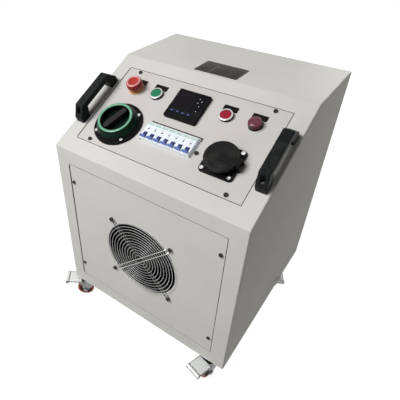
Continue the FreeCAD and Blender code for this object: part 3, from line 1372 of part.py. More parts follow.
def socket_lid():
    """A round lid with a raised ring, and the hinge knuckle at its edge."""
    body = new_body("socket_lid")
    radius, thick, ring = D["lid_radius"], D["lid_thickness"], D["lid_ring"]
    foot = D["socket_collar_height"] + D["fit_gap"]
    top = foot + thick
    step = D["lid_step"]
    turned(body, [
        (ZERO, foot), (radius, foot), (radius, top - step * 2), (radius - step, top - step),
        (ring + step, top - step), (ring, top), (ring - step, top),
        (ring - step * 2, top - step), (ZERO, top - step)])
    axis, knuckle = D["hinge_x"], D["hinge_radius"]
    length, height = D["knuckle_length"], hinge_height
    web = [(radius - thick, foot), (axis, foot), (axis, height + knuckle),
           (radius - thick, height + knuckle)]
    profile(body, "XZ_Plane", web, None, length, symmetric=True)
    boss(body, [(axis, height)], knuckle, None, length, plane="XZ_Plane", symmetric=True)
    hole(body, [(axis, height)], D["hinge_pin"] + D["shaft_gap"], None, length * 2,
         plane="XZ_Plane", symmetric=True)
    finish(body, "socket_lid", on_control(D["socket_x"], D["socket_s"]))


def socket_hinge_pin():
    body = new_body("socket_hinge_pin")
    boss(body, [(D["hinge_x"], hinge_height)], D["hinge_pin"], None, D["hinge_length"],
         plane="XZ_Plane", symmetric=True)
    finish(body, "socket_hinge_pin", on_control(D["socket_x"], D["socket_s"]))


def device_screws():
    """The bright screws of the main switch and of the socket."""
    places = around(D["switch_x"], D["switch_s"], square_of(D["switch_pitch"]))
    places += around(D["socket_x"], D["socket_s"], square_of(D["socket_pitch"]))
    body = screws("device_screws", places, D["flange_thickness"], D["device_screw_radius"],
                  D["device_screw_head"], D["screw_head_height"],
                  D["flange_thickness"] + sheet_metal * 2)
    finish(body, "device_screws", on_control(0, 0))


# Casters
def caster_plates():
    """Top plates with their swivel pins, and the bolts that hold them to the floor pan."""
    body = new_body("caster_plates", several=True)
    plate, side = D["mount_plate_thickness"], D["mount_plate"]
    race = D["race_drop"]
    centres = [(across, back) for _, across, back, _ in casters]
    flat = new_sketch(body, "XY_Plane", -plate)
    for across, back in centres:
        rectangle(flat, side, side, across, back)
    plates = pad(body, flat, plate)
    round_edges(body, plates, D["edge_radius"], is_upright)
    boss(body, centres, D["swivel_boss"], D["fit_gap"] - race, race - D["fit_gap"])
    pin_end = race + D["race_thickness"] + D["crown_thickness"] + D["fit_gap"]
    boss(body, centres, D["kingpin_radius"], -pin_end, pin_end)
    boss(body, centres, D["kingpin_head"], -(pin_end + sheet_metal), sheet_metal)
    bolt, nut = D["bolt_radius"], D["nut_height"]
    stack = plate + nut
    boss(body, bolt_places(), bolt, -stack, stack + sheet_metal + nut + D["bolt_tail"])
    hexagons(body, bolt_places(), D["bolt_nut"], -stack, nut)
    hexagons(body, bolt_places(), D["bolt_nut"], sheet_metal, nut)
    finish(body, "caster_plates")


def on_deck(across, back, heading):
    return in_cabinet(across, back, 0, Rotation(Vector(0, 0, 1), heading.value))


def caster_fork(name, across, back, heading):
    """A swivel race and crown with two legs, the wheel's axle and the pedal's pivots."""
    body = new_body(name)
    race_top = -D["race_drop"]
    crown_top = race_top - D["race_thickness"]
    crown_foot = crown_top - D["crown_thickness"]
    inner, skin = fork_inner, D["fork_sheet"]
    axle_x, axle_z = D["caster_trail"], axle_height
    pivot_x, pivot_z = D["pedal_pivot_x"], -D["pedal_pivot_z"]
    end, rear = D["fork_end"], D["fork_rear"]
    boss(body, [(0, 0)], D["race_radius"], crown_top, D["race_thickness"])
    front = pivot_x - D["pedal_pin"]
    slab(body, front + rear, (inner + skin) * 2, crown_foot, D["crown_thickness"],
         (front - rear) / 2, 0)
    nose = pivot_x + D["leg_nose"]
    leg = [(-rear, crown_top), (front, crown_top), (nose, pivot_z + end / 2),
           (nose, pivot_z - end / 2), (axle_x + end, axle_z), (axle_x - end, axle_z),
           (-rear, pivot_z)]
    for offset in (inner, -(inner + skin)):
        profile(body, "XZ_Plane", leg, offset, skin)
        boss(body, [(axle_x, axle_z)], end, offset, skin, plane="XZ_Plane")
    boss(body, [(axle_x, axle_z)], D["axle_radius"], None, (inner + skin * 2) * 2,
         plane="XZ_Plane", symmetric=True)
    stub = D["pedal_sheet"] + D["fit_gap"] * 2
    cap = D["pedal_sheet"] / 2
    for side in (-1, 1):
        outside = inner + skin
        boss(body, [(axle_x, axle_z)], D["axle_head"],
             outside if side > 0 else -(outside + skin), skin, plane="XZ_Plane")
        boss(body, [(pivot_x, pivot_z)], D["pedal_pin"],
             outside if side > 0 else -(outside + stub), stub, plane="XZ_Plane")
        boss(body, [(pivot_x, pivot_z)], D["pedal_pin_head"],
             outside + stub if side > 0 else -(outside + stub + cap), cap, plane="XZ_Plane")
    hole(body, [(0, 0)], D["kingpin_radius"] + D["shaft_gap"], race_top,
         D["race_thickness"] + D["crown_thickness"])
    finish(body, name, on_deck(across, back, heading))


def caster_wheel(name, across, back, heading):
    """A hub, a thin web and a rounded tread on one wheel."""
    body = new_body(name)
    half, tread, radius = D["wheel_width"] / 2, D["tread_width"] / 2, D["wheel_radius"]
    bore, hub = D["axle_radius"] + D["shaft_gap"], D["wheel_hub"]
    web, rim, bend = D["wheel_web"], D["wheel_radius"] - D["tread_depth"], D["tread_round"]
    right = [(hub, half), (hub + bend / 2, web), (rim - bend, web), (rim, tread - bend / 2),
             (radius - bend, tread), (radius - bend / 3, tread - bend), (radius, tread / 3)]
    left = [(run, -rise) for run, rise in reversed(right)]
    turned(body, [(bore, half)] + right + left + [(bore, -half)])
    turn = on_deck(across, back, heading)
    axle = Placement(Vector(D["caster_trail"].value, 0, axle_height.value),
                     Rotation(Vector(1, 0, 0), 90))
    finish(body, name, turn.multiply(axle))


def shoe_height(along):
    """How low the brake shoe may reach here and stay off the wheel when pressed."""
    turn = D["pedal_travel"]
    back, down = D["caster_trail"] - D["pedal_pivot_x"], axle_height + D["pedal_pivot_z"]
    centre_x = D["pedal_pivot_x"] + back * cosine(turn) - down * sine(turn)
    centre_z = down * cosine(turn) + back * sine(turn) - D["pedal_pivot_z"]
    clear = D["wheel_radius"] + D["fit_gap"] * 2
    run = as_size(along) - centre_x
    return centre_z + root(clear * clear - run * run)


def brake_pedal(name, across, back, heading):
    """A broad plate with a rolled tip, cheeks on the fork's pivots and a brake shoe."""
    body = new_body(name)
    skin, width, roll = D["pedal_sheet"], D["pedal_width"], D["pedal_roll"]
    pivot_x, pivot_z = D["pedal_pivot_x"], -D["pedal_pivot_z"]
    tip_x, tip_z = D["pedal_reach"] - roll, -D["pedal_drop"]
    start, heel = pivot_x + D["fit_gap"] * 3, -D["pedal_heel"]
    rise = tip_z + roll / 2
    plate = [(start, heel - skin), (tip_x, rise - skin), (tip_x, rise), (start, heel)]
    profile(body, "XZ_Plane", plate, None, width, symmetric=True)
    boss(body, [(tip_x, tip_z)], roll, None, width, plane="XZ_Plane", symmetric=True)
    cheek, inner = D["cheek_size"], fork_inner + D["fork_sheet"] + D["fit_gap"]
    outline = [
        (pivot_x - cheek, pivot_z - cheek), (pivot_x + cheek, pivot_z - cheek),
        (pivot_x + D["cheek_reach"], heel - skin / 2), (start, heel - skin / 2),
        (pivot_x - cheek, pivot_z + cheek)]
    for offset in (inner, -(inner + skin)):
        profile(body, "XZ_Plane", outline, offset, skin)
    near, far = D["shoe_near"], D["shoe_far"]
    shoe = [(near, heel - skin / 2), (near, shoe_height(near)), (far, shoe_height(far)),
            (far, heel - skin / 2)]
    profile(body, "XZ_Plane", shoe, None, D["tread_width"] - skin, symmetric=True)
    hole(body, [(pivot_x, pivot_z)], D["pedal_pin"] + D["shaft_gap"], None, width,
         plane="XZ_Plane", symmetric=True)
    finish(body, name, on_deck(across, back, heading))


cabinet_shell()
floor_pan()
front_panel()
rear_panel()
control_panel()
panel_screws()
handle("left", -1)
handle("right", 1)
handle_screws()
fan_guard()
fan_frame()
fan_impeller()
fan_screws()
resistor_frame()
resistor_elements()
din_rail()
breaker_bodies()
for pole in range(1, int(D["pole_count"].value) + 1):
    breaker_toggle(pole)
meter_case()
meter_face()
for key, (key_x, key_y) in enumerate(key_places(), 1):
    meter_key(key, key_x, key_y)
estop()
push_button("start", D["start_x"])
push_button("stop", D["stop_x"])
lamp()
label_plates()
nameplate()
switch_base()
switch_handle()
socket_housing()
socket_lid()
socket_hinge_pin()
device_screws()
caster_plates()
for corner, caster_across, caster_back, caster_heading in casters:
    caster_fork(f"caster_fork_{corner}", caster_across, caster_back, caster_heading)
    caster_wheel(f"caster_wheel_{corner}", caster_across, caster_back, caster_heading)
    brake_pedal(f"caster_pedal_{corner}", caster_across, caster_back, caster_heading)

doc.recompute()
for item in doc.Objects:
    if "Invalid" in item.State or "Error" in item.State:
        raise RuntimeError(f"{item.Name} failed: {item.State}")
for label, item in sub_parts.items():
    if item.Shape.isNull() or not item.Shape.isValid():
        raise RuntimeError(f"{label} has no valid shape")

os.makedirs("parts", exist_ok=True)
for label, item in sub_parts.items():
    item.Shape.exportStep(f"parts/{label}.step")
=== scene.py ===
"""Looks of a mobile generator load bank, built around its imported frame.

Sizes are in millimetres on the maker's own frames: the front, the slope, the flat top, the
back and the deck under the cabinet. A Place turns them into metres on the whole object.
"""

import logging
import math
from dataclasses import dataclass, field
from enum import Enum
from typing import Callable, Iterable, Optional, Sequence, Union

import bpy
from bpy.types import ID, Material, Node, NodeOutputs, NodeSocket, NodeTree, Object
from mathutils import Matrix, Vector

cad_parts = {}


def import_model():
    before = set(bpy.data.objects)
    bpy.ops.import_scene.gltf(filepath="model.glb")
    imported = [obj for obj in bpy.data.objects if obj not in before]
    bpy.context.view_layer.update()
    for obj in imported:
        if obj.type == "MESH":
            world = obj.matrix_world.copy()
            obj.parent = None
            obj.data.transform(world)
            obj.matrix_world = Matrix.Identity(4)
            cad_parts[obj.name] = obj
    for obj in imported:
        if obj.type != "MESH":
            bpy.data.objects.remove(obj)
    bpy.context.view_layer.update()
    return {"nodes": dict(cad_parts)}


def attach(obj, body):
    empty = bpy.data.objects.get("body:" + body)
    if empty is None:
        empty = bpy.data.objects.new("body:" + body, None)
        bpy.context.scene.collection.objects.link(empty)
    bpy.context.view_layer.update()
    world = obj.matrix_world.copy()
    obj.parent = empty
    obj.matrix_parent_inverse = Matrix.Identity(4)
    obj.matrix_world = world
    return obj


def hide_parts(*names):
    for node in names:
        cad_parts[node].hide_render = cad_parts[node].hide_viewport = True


LOG = logging.getLogger("load_bank")
MM = 0.001
CABINET_ORIGIN = Vector((8.87, 22.89, 74.0))
CABINET_DEPTH = 500.0
CABINET_HEIGHT = 600.0
FRONT_HEIGHT = 460.0
SLOPE_RUN = 275.0
SLOPE_ANGLE = math.atan2(CABINET_HEIGHT - FRONT_HEIGHT, SLOPE_RUN)
SLOPE_LENGTH = math.hypot(SLOPE_RUN, CABINET_HEIGHT - FRONT_HEIGHT)
UP = Vector((0, 0, 1))
# For an outline drawn along Y and Z and raised along X
ACROSS = Matrix(((0, 0, 1, 0), (1, 0, 0, 0), (0, 1, 0, 0), (0, 0, 0, 1)))
# For an outline drawn along X and Z and raised along Y, towards its low end
UPRIGHT = Matrix(((1, 0, 0, 0), (0, 0, -1, 0), (0, 1, 0, 0), (0, 0, 0, 1)))
# Lengths below this count as nought
TINY = 1e-6
# The most of a side that a rounded corner takes up
CORNER_SHARE = 0.45
# Keeps the inward step of a sharp corner to twice that of its sides
LEAST_MITRE = 0.5
# How deep a piece that is laid on another reaches into it
BEDDING = 0.1

Point2 = tuple[float, float]
Point3 = tuple[float, float, float]
Colour = tuple[float, float, float]
# Width, length and corner radius of an outline
Sizes = tuple[float, float, float]
# Corners of an outline, as radius and height where it is turned about an axis
Section = tuple[Point2, ...]


class Face(Enum):
    """The faces of the cabinet that carry pieces."""

    FRONT = "front"
    BACK = "back"
    CONTROL = "control panel"
    TOP = "top"
    DECK = "deck"


class Grain(Enum):
    """What a surface's fine relief comes from."""

    PEEL = "orange peel of a powder coat"
    MOULDED = "spark eroded mould"
    BRUSHED = "brushed lines"


@dataclass(frozen=True)
class Relief:
    """The fine relief of a surface.

    Attributes:
        grain: What it comes from.
        size: Width of its features in millimetres.
        height: Its height in millimetres.
    """

    grain: Grain
    size: float
    height: float


@dataclass(frozen=True)
class Place:
    """A frame that pieces are drawn in, in millimetres."""

    matrix: Matrix

    def put(self, point: Sequence[float]) -> Vector:
        """Turns a point of the frame into metres on the object."""
        return (self.matrix @ Vector(point)) * MM

    def at(self, across: float = 0.0, along: float = 0.0, out: float = 0.0,
           turn: float = 0.0) -> "Place":
        """A frame moved within this one.

        Args:
            across: Move along the frame's X.
            along: Move along the frame's Y.
            out: Move along the frame's Z.
            turn: Angle about Z in degrees, after the move.

        Returns:
            The new frame.
        """
        step = Matrix.Translation((across, along, out))
        return Place(self.matrix @ step @ Matrix.Rotation(math.radians(turn), 4, "Z"))

    def tipped(self, angle: float) -> "Place":
        """A frame tipped about its own X, in degrees."""
        return Place(self.matrix @ Matrix.Rotation(math.radians(angle), 4, "X"))


def face_place(face: Face) -> Place:
    """Gives the frame of one face of the cabinet.

    Args:
        face: The face that carries the pieces.

    Returns:
        A frame whose Z points out of that face. X is across the cabinet.
    """
    half, upright = CABINET_DEPTH / 2, math.pi / 2
    spot, turn, tip, along = {
        Face.FRONT: ((0, -half, FRONT_HEIGHT / 2), 0, upright, 0),
        Face.BACK: ((0, half, CABINET_HEIGHT / 2), math.pi, upright, 0),
        Face.CONTROL: ((0, -half, FRONT_HEIGHT), 0, SLOPE_ANGLE, SLOPE_LENGTH / 2),
        Face.TOP: ((0, SLOPE_RUN - half, CABINET_HEIGHT), 0, 0, 0),
        Face.DECK: ((0, 0, 0), 0, 0, 0)}[face]
    return Place(Matrix.Translation(CABINET_ORIGIN + Vector(spot))
                 @ Matrix.Rotation(turn, 4, "Z") @ Matrix.Rotation(tip, 4, "X")
                 @ Matrix.Translation((0, along, 0)))


@dataclass
class Form:
    """A drawn shape: points in a place's millimetres and the faces between them."""

    points: list[Vector] = field(default_factory=list)
    faces: list[tuple[int, ...]] = field(default_factory=list)

    def add(self, other: "Form") -> "Form":
        """Takes in another shape.

        Args:
            other: The shape that is added.

        Returns:
            This shape.
        """
        start = len(self.points)
        self.points += other.points
        self.faces += [tuple(start + index for index in face) for face in other.faces]
        return self

    def moved(self, matrix: Matrix) -> "Form":
        """A copy moved by a matrix within the same place."""
        return Form([matrix @ point for point in self.points], list(self.faces))

    def shifted(self, across: float = 0.0, along: float = 0.0, out: float = 0.0) -> "Form":
        """A copy moved along the axes of the same place."""
        return self.moved(Matrix.Translation((across, along, out)))

    def copies(self, spots: Iterable[Point2]) -> "Form":
        """Lays copies of the shape at several spots.

        Args:
            spots: Where each copy goes, across and along.

        Returns:
            The copies as one shape.
        """
        form = Form()
        for across, along in spots:
            form.add(self.shifted(across, along))
        return form


def beside(section: Sequence[Point2], across: float, height: float) -> list[Point2]:
    """A section moved to the radius and height that it is measured from."""
    return [(radius + across, level + height) for radius, level in section]


def both_sides(half: Sequence[Point2]) -> list[Point2]:
    """An outline, anticlockwise, from its right half."""
    return [*half, *((-across, along) for across, along in reversed(half))]


def mirrored(section: Sequence[Point2]) -> list[Point2]:
    """A section turned upside down, in the same order."""
    return [(radius, -level) for radius, level in section]


def band(low: int, high: int, count: int) -> list[tuple[int, ...]]:
    """Faces between two closed rows of points, given the first number of each."""
    return [(low + index, low + (index + 1) % count, high + (index + 1) % count, high + index)
            for index in range(count)]


def soften(corners: Sequence[Point2], radius: float, closed: bool = True,
           steps: int = 3) -> list[Point2]:
    """Rounds the corners of an outline.

    Args:
        corners: The outline's corners.
        radius: How far back from each corner the rounding starts.
        closed: Whether the last corner joins the first.
        steps: Spans in each rounded corner.

    Returns:
        The rounded outline.
    """
    count = len(corners)
    rounded: list[Point2] = []
    for index, corner in enumerate(corners):
        if not closed and index in (0, count - 1):
            rounded.append(corner)
            continue
        here = Vector(corner)
        before = Vector(corners[index - 1]) - here
        after = Vector(corners[(index + 1) % count]) - here
        reach = min(radius, before.length * CORNER_SHARE, after.length * CORNER_SHARE)
        start, end = here + before.normalized() * reach, here + after.normalized() * reach
        for step in range(steps + 1):
            share = step / steps
            spot = start.lerp(here, share).lerp(here.lerp(end, share), share)
            rounded.append((spot.x, spot.y))
    return rounded


def turned(profile: Sequence[Point2], spans: int = 96, loop: bool = False,
           swell: Optional[Callable[[float, float, float], float]] = None) -> Form:
    """Turns an outline of radius and height pairs about Z.

    Args:
        profile: The outline, from its foot to its top.
        spans: Spans round the axis.
        loop: Whether the outline closes on itself, as for a ring.
        swell: Gives a radius from the angle, the radius and the height.

    Returns:
        The turned shape.
    """
    form = Form()
    rings: list[list[int]] = []
    for radius, height in profile:
        if radius < TINY:
            rings.append([len(form.points)])
            form.points.append(Vector((0, 0, height)))
            continue
        ring: list[int] = []
        for step in range(spans):
            angle = 2 * math.pi * step / spans
            reach = swell(angle, radius, height) if swell else radius
            ring.append(len(form.points))
            form.points.append(Vector((reach * math.cos(angle), reach * math.sin(angle),
                                       height)))
        rings.append(ring)
    pairs = list(zip(rings, rings[1:]))
    if loop:
        pairs.append((rings[-1], rings[0]))
    for low, high in pairs:
        for step in range(spans):
            following = (step + 1) % spans
            face = (low[step % len(low)], low[following % len(low)],
                    high[following % len(high)], high[step % len(high)])
            corners = tuple(dict.fromkeys(face))
            if len(corners) > 2:
                form.faces.append(corners)
    if not loop:
        if len(rings[0]) > 1:
            form.faces.append(tuple(reversed(rings[0])))
        if len(rings[-1]) > 1:
            form.faces.append(tuple(rings[-1]))
    return form


def inset(outline: Sequence[Point2], amount: float) -> list[Point2]:
    """Moves the sides of an anticlockwise outline inwards.

    Args:
        outline: The outline's points.
        amount: How far each side moves.

    Returns:
        The smaller outline, with as many points.
    """
    moved: list[Point2] = []
    count = len(outline)
    for index, spot in enumerate(outline):
        here = Vector(spot)
        before = (here - Vector(outline[index - 1])).normalized()
        after = (Vector(outline[(index + 1) % count]) - here).normalized()
        normal = Vector((-before.y - after.y, before.x + after.x))
        if normal.length < TINY:
            normal = Vector((-after.y, after.x))
        normal.normalize()
        share = max(LEAST_MITRE, normal.dot(Vector((-after.y, after.x))))
        spot_moved = here + normal * (amount / share)
        moved.append((spot_moved.x, spot_moved.y))
    return moved


def prism(outline: Sequence[Point2], low: float, high: float, rim: float = 0.0,
          foot: float = 0.0, steps: int = 3) -> Form:
    """Raises an anticlockwise outline into a block with rounded rims.

    Args:
        outline: The block's outline.
        low: Height of its underside.
        high: Height of its top.
        rim: Rounding of the upper rim.
        foot: Rounding of the lower rim.
        steps: Spans in each rounded rim.

    Returns:
        The block.
    """
    layers: list[tuple[float, float]] = []
    for size, height, sign in ((foot, low, 1.0), (rim, high, -1.0)):
        turns = [math.pi / 2 * step / steps for step in range(steps + 1)] if size else [0.0]
        spots = [(size * (1 - math.cos(turn)), height + sign * size * (1 - math.sin(turn)))
                 for turn in turns]
        layers += list(reversed(spots)) if sign > 0 else spots
    form = Form()
    count = len(outline)
    for amount, height in layers:
        form.points += [Vector((x, y, height)) for x, y in inset(outline, amount)]
    for layer in range(len(layers) - 1):
        form.faces += band(layer * count, (layer + 1) * count, count)
    form.faces.append(tuple(reversed(range(count))))
    form.faces.append(tuple(range((len(layers) - 1) * count, len(layers) * count)))
    return form


def box_outline(width: float, length: float, radius: float, steps: int = 4) -> list[Point2]:
    """Draws a rectangle with round corners, anticlockwise about its middle.

    Args:
        width: Its size across.
        length: Its size along.
        radius: How far back from each corner the rounding starts.
        steps: Spans in each corner.

    Returns:
        The outline.
    """
    across, along = width / 2, length / 2
    corners = [(-across, -along), (across, -along), (across, along), (-across, along)]
    return soften(corners, radius, steps=steps)


def stadium(length: float, radius: float, steps: int = 16) -> list[Point2]:
    """Draws a long outline with half round ends, anticlockwise, along X.

    Args:
        length: Its whole length.
        radius: Half its width.
        steps: Spans in each end.

    Returns:
        The outline.
    """
    reach = length / 2 - radius
    outline: list[Point2] = []
    for side, start in ((1, -math.pi / 2), (-1, math.pi / 2)):
        for step in range(steps + 1):
            angle = start + math.pi * step / steps
            outline.append((side * reach + radius * math.cos(angle), radius * math.sin(angle)))
    return outline


def hoop(outer: Sequence[Point2], inner: Sequence[Point2], low: float, high: float) -> Form:
    """Makes a flat ring between two anticlockwise outlines with as many points.

    Args:
        outer: The outer outline.
        inner: The inner outline.
        low: Height of its underside.
        high: Height of its top.

    Returns:
        The ring.
    """
    count = len(outer)
    form = Form([Vector((x, y, height)) for outline in (outer, inner)
                 for height in (low, high) for x, y in outline])
    for start, end in ((0, 1), (1, 3), (3, 2), (2, 0)):
        form.faces += band(start * count, end * count, count)
    return form


def circle(radius: float, across: float = 0.0, along: float = 0.0,
           steps: int = 48) -> list[Point2]:
    """A circle's outline, anticlockwise."""
    turns = [2 * math.pi * step / steps for step in range(steps)]
    return [(across + radius * math.cos(turn), along + radius * math.sin(turn))
            for turn in turns]


def circle_path(radius: float, height: float, steps: int = 96) -> list[Vector]:
    """Points round a circle at one height."""
    return [Vector((x, y, height)) for x, y in circle(radius, steps=steps)]


def wire(path: Sequence[Vector], radius: float, sides: int = 10) -> Form:
    """Lays round wire along a closed path.

    Args:
        path: The path of the wire's middle. It is never upright.
        radius: Half the wire's thickness.
        sides: Sides of the wire's section.

    Returns:
        The wire.
    """
    form = Form()
    count = len(path)
    for index, spot in enumerate(path):
        ahead = path[(index + 1) % count] - path[index - 1]
        side = ahead.cross(UP).normalized()
        lift = side.cross(ahead).normalized()
        for step in range(sides):
            angle = 2 * math.pi * step / sides
            form.points.append(spot + side * (radius * math.cos(angle))
                               + lift * (radius * math.sin(angle)))
    for index in range(count):
        form.faces += band((index + 1) % count * sides, index * sides, sides)
    return form


def dome(radius: float, height: float, spans: int, steps: int) -> Form:
    """A small round crown on the plane that it is drawn on."""
    profile = [(radius * math.cos(math.pi / 2 * step / steps),
                height * math.sin(math.pi / 2 * step / steps)) for step in range(steps)]
    return turned(profile + [(0.0, height)], spans)


@dataclass(frozen=True)
class Finish:
    """A surface finish: its colours, its gloss and the relief on it.

    Attributes:
        name: The finish's name.
        colour: Its main colour.
        shade: The colour that it drifts to.
        roughness: How matt it is.
        metal: Share of bare metal.
        specular: Level of its white reflections.
        relief: Its fine relief, or none where it is polished.
        wear: How much its edges are rubbed.
        worn: Colour of a rubbed edge.
        dust: How much dust lies on what faces up.
        glow: Strength of the light that it gives off. It is a lamp's light only on the meter's
            lights; on the breakers, the handle screws and the key marks it is painted light.
        slot: The record's material slot, where it isn't the finish's name. Empty for none. Not
            used.
    """

    name: str
    colour: Colour
    shade: Colour
    roughness: float
    metal: float = 0.0
    specular: float = 0.5
    relief: Optional[Relief] = None
    wear: float = 0.0
    worn: Colour = (0.6, 0.6, 0.6)
    dust: float = 0.0
    glow: float = 0.0
    slot: Optional[str] = None


@dataclass
class Bench:
    """Adds nodes to one shader tree.

    Attributes:
        tree: The nodes of a material, of a group or of the world.
    """

    tree: NodeTree

    def feed(self, node: Node, label: Union[str, int], value: object) -> None:
        """Sets an input of a node, or links it where the value is another node's output.

        Args:
            node: The node.
            label: The input's name or number.
            value: A plain value or an output.
        """
        if isinstance(value, NodeSocket):
            self.tree.links.new(value, node.inputs[label])
        else:
            node.inputs[label].default_value = value

    def node(self, kind: str, inputs: Optional[dict[Union[str, int], object]] = None,
             **settings: object) -> Node:
        """Adds a node.

        Args:
            kind: Its type, without the ShaderNode that starts the type's name.
            inputs: Values or outputs for its inputs.
            **settings: Its own settings.

        Returns:
            The node.
        """
        node = self.tree.nodes.new("ShaderNode" + kind)
        for name, value in settings.items():
            setattr(node, name, value)
        for label, value in (inputs or {}).items():
            self.feed(node, label, value)
        return node

    def noise(self, scale: object, detail: float,
              stretch: Point3 = (1.0, 1.0, 1.0)) -> NodeSocket:
        """Adds a noise in the piece's own metres.

        Args:
            scale: Features in a metre.
            detail: Layers of finer noise.
            stretch: Scale along each axis.

        Returns:
            The noise.
        """
        place = self.node("TexCoord").outputs["Object"]
        mapping = self.node("Mapping", {"Vector": place, "Scale": stretch})
        inputs = {"Vector": mapping.outputs["Vector"], "Scale": scale, "Detail": detail}
        return self.node("TexNoise", inputs).outputs["Fac"]

    def spread(self, value: object, low: float, high: float) -> NodeSocket:
        """Spreads the values between low and high smoothly over nought to one."""
        inputs = {"Value": value, "From Min": low, "From Max": high}
        return self.node("MapRange", inputs, interpolation_type="SMOOTHSTEP").outputs["Result"]

    def combined(self, first: object, second: object,
                 operation: str = "MULTIPLY") -> NodeSocket:
        """Multiplies two values, or works them out by another operation."""
        return self.node("Math", {0: first, 1: second}, operation=operation).outputs["Value"]

    def layered(self, mask: object, under: object, over: object) -> NodeSocket:
        """Lays a colour over another through a mask."""
        inputs = {"Factor": mask, "A": under, "B": over}
        return self.node("Mix", inputs, data_type="RGBA").outputs["Result"]

    def shown_rays(self) -> NodeSocket:
        """Adds a test that is one for rays that are seen, straight or in a reflection.

        Returns:
            The test's result.
        """
        path = self.node("LightPath").outputs
        result = path["Is Camera Ray"]
        for label in ("Is Glossy Ray", "Is Transmission Ray"):
            result = self.combined(result, path[label], "MAXIMUM")
        return result


class ShaderWorkshop:
    """Builds the shader groups that finishes share, and the material of each finish."""

    DUST_COLOUR = (0.62, 0.59, 0.53)
    # The smoothest and the roughest spots of a finish, as shares of its roughness
    SMOOTH_SHARE = 0.9
    MATT_SHARE = 1.15
    MATT_EXTRA = 0.02

    def __init__(self) -> None:
        """Builds every shared group once."""
        self.made: dict[str, Material] = {}
        self.drift = self._drift()
        self.relief = self._relief("fine_relief", detail=2.0, low=0.35, high=0.65)
        self.lines = self._relief("brushed_lines", detail=3.0, low=0.3, high=0.7,
                                  stretch=(0.03, 1.0, 1.0))
        self.dust = self._dust()
        self.wear = self._wear()

    @staticmethod
    def _start(name: str, **inputs: object) -> tuple[Bench, NodeOutputs]:
        """Starts a shader group.

        Args:
            name: The group's name.
            **inputs: Default of each input by name: a number, or a colour of four numbers.

        Returns:
            The bench with the group's nodes, and what its inputs bring in.
        """
        tree = bpy.data.node_groups.new(name, "ShaderNodeTree")
        for label, default in inputs.items():
            kind = "NodeSocketColor" if isinstance(default, tuple) else "NodeSocketFloat"
            socket = tree.interface.new_socket(label, in_out="INPUT", socket_type=kind)
            socket.default_value = default
        return Bench(tree), tree.nodes.new("NodeGroupInput").outputs

    @staticmethod
    def _end(bench: Bench, **outputs: NodeSocket) -> NodeTree:
        """Ends a shader group.

        Args:
            bench: The bench with the group's nodes.
            **outputs: What the group puts out, by name.

        Returns:
            The group.
        """
        for label, value in outputs.items():
            kind = "NodeSocketColor" if value.type == "RGBA" else "NodeSocketFloat"
            bench.tree.interface.new_socket(label, in_out="OUTPUT", socket_type=kind)
        leave = bench.tree.nodes.new("NodeGroupOutput")
        for label, value in outputs.items():
            bench.feed(leave, label, value)
        return bench.tree

    def _drift(self) -> NodeTree:
        """A colour that drifts slowly between two shades, with small flecks."""
        bench, entry = self._start("tone_drift", Colour=(0.5, 0.5, 0.5, 1),
                                   Shade=(0.4, 0.4, 0.4, 1), Scale=6.0)
        mask = bench.spread(bench.noise(entry["Scale"], detail=6.0), low=0.32, high=0.7)
        colour = bench.layered(mask, entry["Colour"], entry["Shade"])
        return self._end(bench, Colour=colour, Mask=mask)

    def _relief(self, name: str, detail: float, low: float, high: float,
                stretch: Point3 = (1.0, 1.0, 1.0)) -> NodeTree:
        """Small bumps of a coat or a mould, or fine lines as brushing leaves them.

        Args:
            name: The group's name.
            detail: Layers of finer noise.
            low: Noise of the lowest spots, where its mask is nought.
            high: Noise of the highest spots, where its mask is one.
            stretch: Scale along each axis.

        Returns:
            The group.
        """
        bench, entry = self._start(name, Scale=800.0)
        height = bench.noise(entry["Scale"], detail, stretch)
        return self._end(bench, Height=height, Mask=bench.spread(height, low, high))

    def _dust(self) -> NodeTree:
        """A mask of the dust that settles on what faces up."""
        bench, entry = self._start("settled_dust", Amount=0.2)
        cloud = bench.spread(bench.noise(scale=45.0, detail=5.0), low=0.4, high=0.75)
        normal = bench.node("NewGeometry").outputs["Normal"]
        split = bench.node("SeparateXYZ", {"Vector": normal})
        upward = bench.spread(split.outputs["Z"], low=0.3, high=0.95)
        share = bench.combined(bench.combined(cloud, upward), entry["Amount"])
        return self._end(bench, Mask=share)

    def _wear(self) -> NodeTree:
        """A mask of the edges that hands and tools have rubbed."""
        bench, entry = self._start("rubbed_edges", Amount=0.2)
        pointed = bench.node("NewGeometry").outputs["Pointiness"]
        edge = bench.spread(pointed, low=0.52, high=0.62)
        broken = bench.spread(bench.noise(scale=120.0, detail=6.0), low=0.42, high=0.62)
        share = bench.combined(bench.combined(edge, broken), entry["Amount"])
        return self._end(bench, Mask=share)

    def material(self, finish: Finish) -> Material:
        """Makes the material of a finish, or finds it.

        Args:
            finish: The finish to make.

        Returns:
            The material.
        """
        if finish.name in self.made:
            return self.made[finish.name]
        material = bpy.data.materials.new(finish.name)
        material.use_nodes = True
        bench = Bench(material.node_tree)
        shader = bench.tree.nodes["Principled BSDF"]
        bench.feed(shader, "Metallic", finish.metal)
        bench.feed(shader, "Specular IOR Level", finish.specular)
        drift = bench.node("Group", node_tree=self.drift)
        bench.feed(drift, "Colour", (*finish.colour, 1))
        bench.feed(drift, "Shade", (*finish.shade, 1))
        colour = drift.outputs["Colour"]
        for group, amount, over in ((self.wear, finish.wear, finish.worn),
                                    (self.dust, finish.dust, self.DUST_COLOUR)):
            if amount:
                layer = bench.node("Group", node_tree=group)
                bench.feed(layer, "Amount", amount)
                colour = bench.layered(layer.outputs["Mask"], colour, (*over, 1))
        bench.feed(shader, "Base Color", colour)
        self._gloss(bench, shader, finish, drift)
        # Emission: a lamp's own light, or painted light where the finish is no lamp
        if finish.glow:
            bench.feed(shader, "Emission Color", colour)
            bench.feed(shader, "Emission Strength", finish.glow)
        self.made[finish.name] = material
        return material

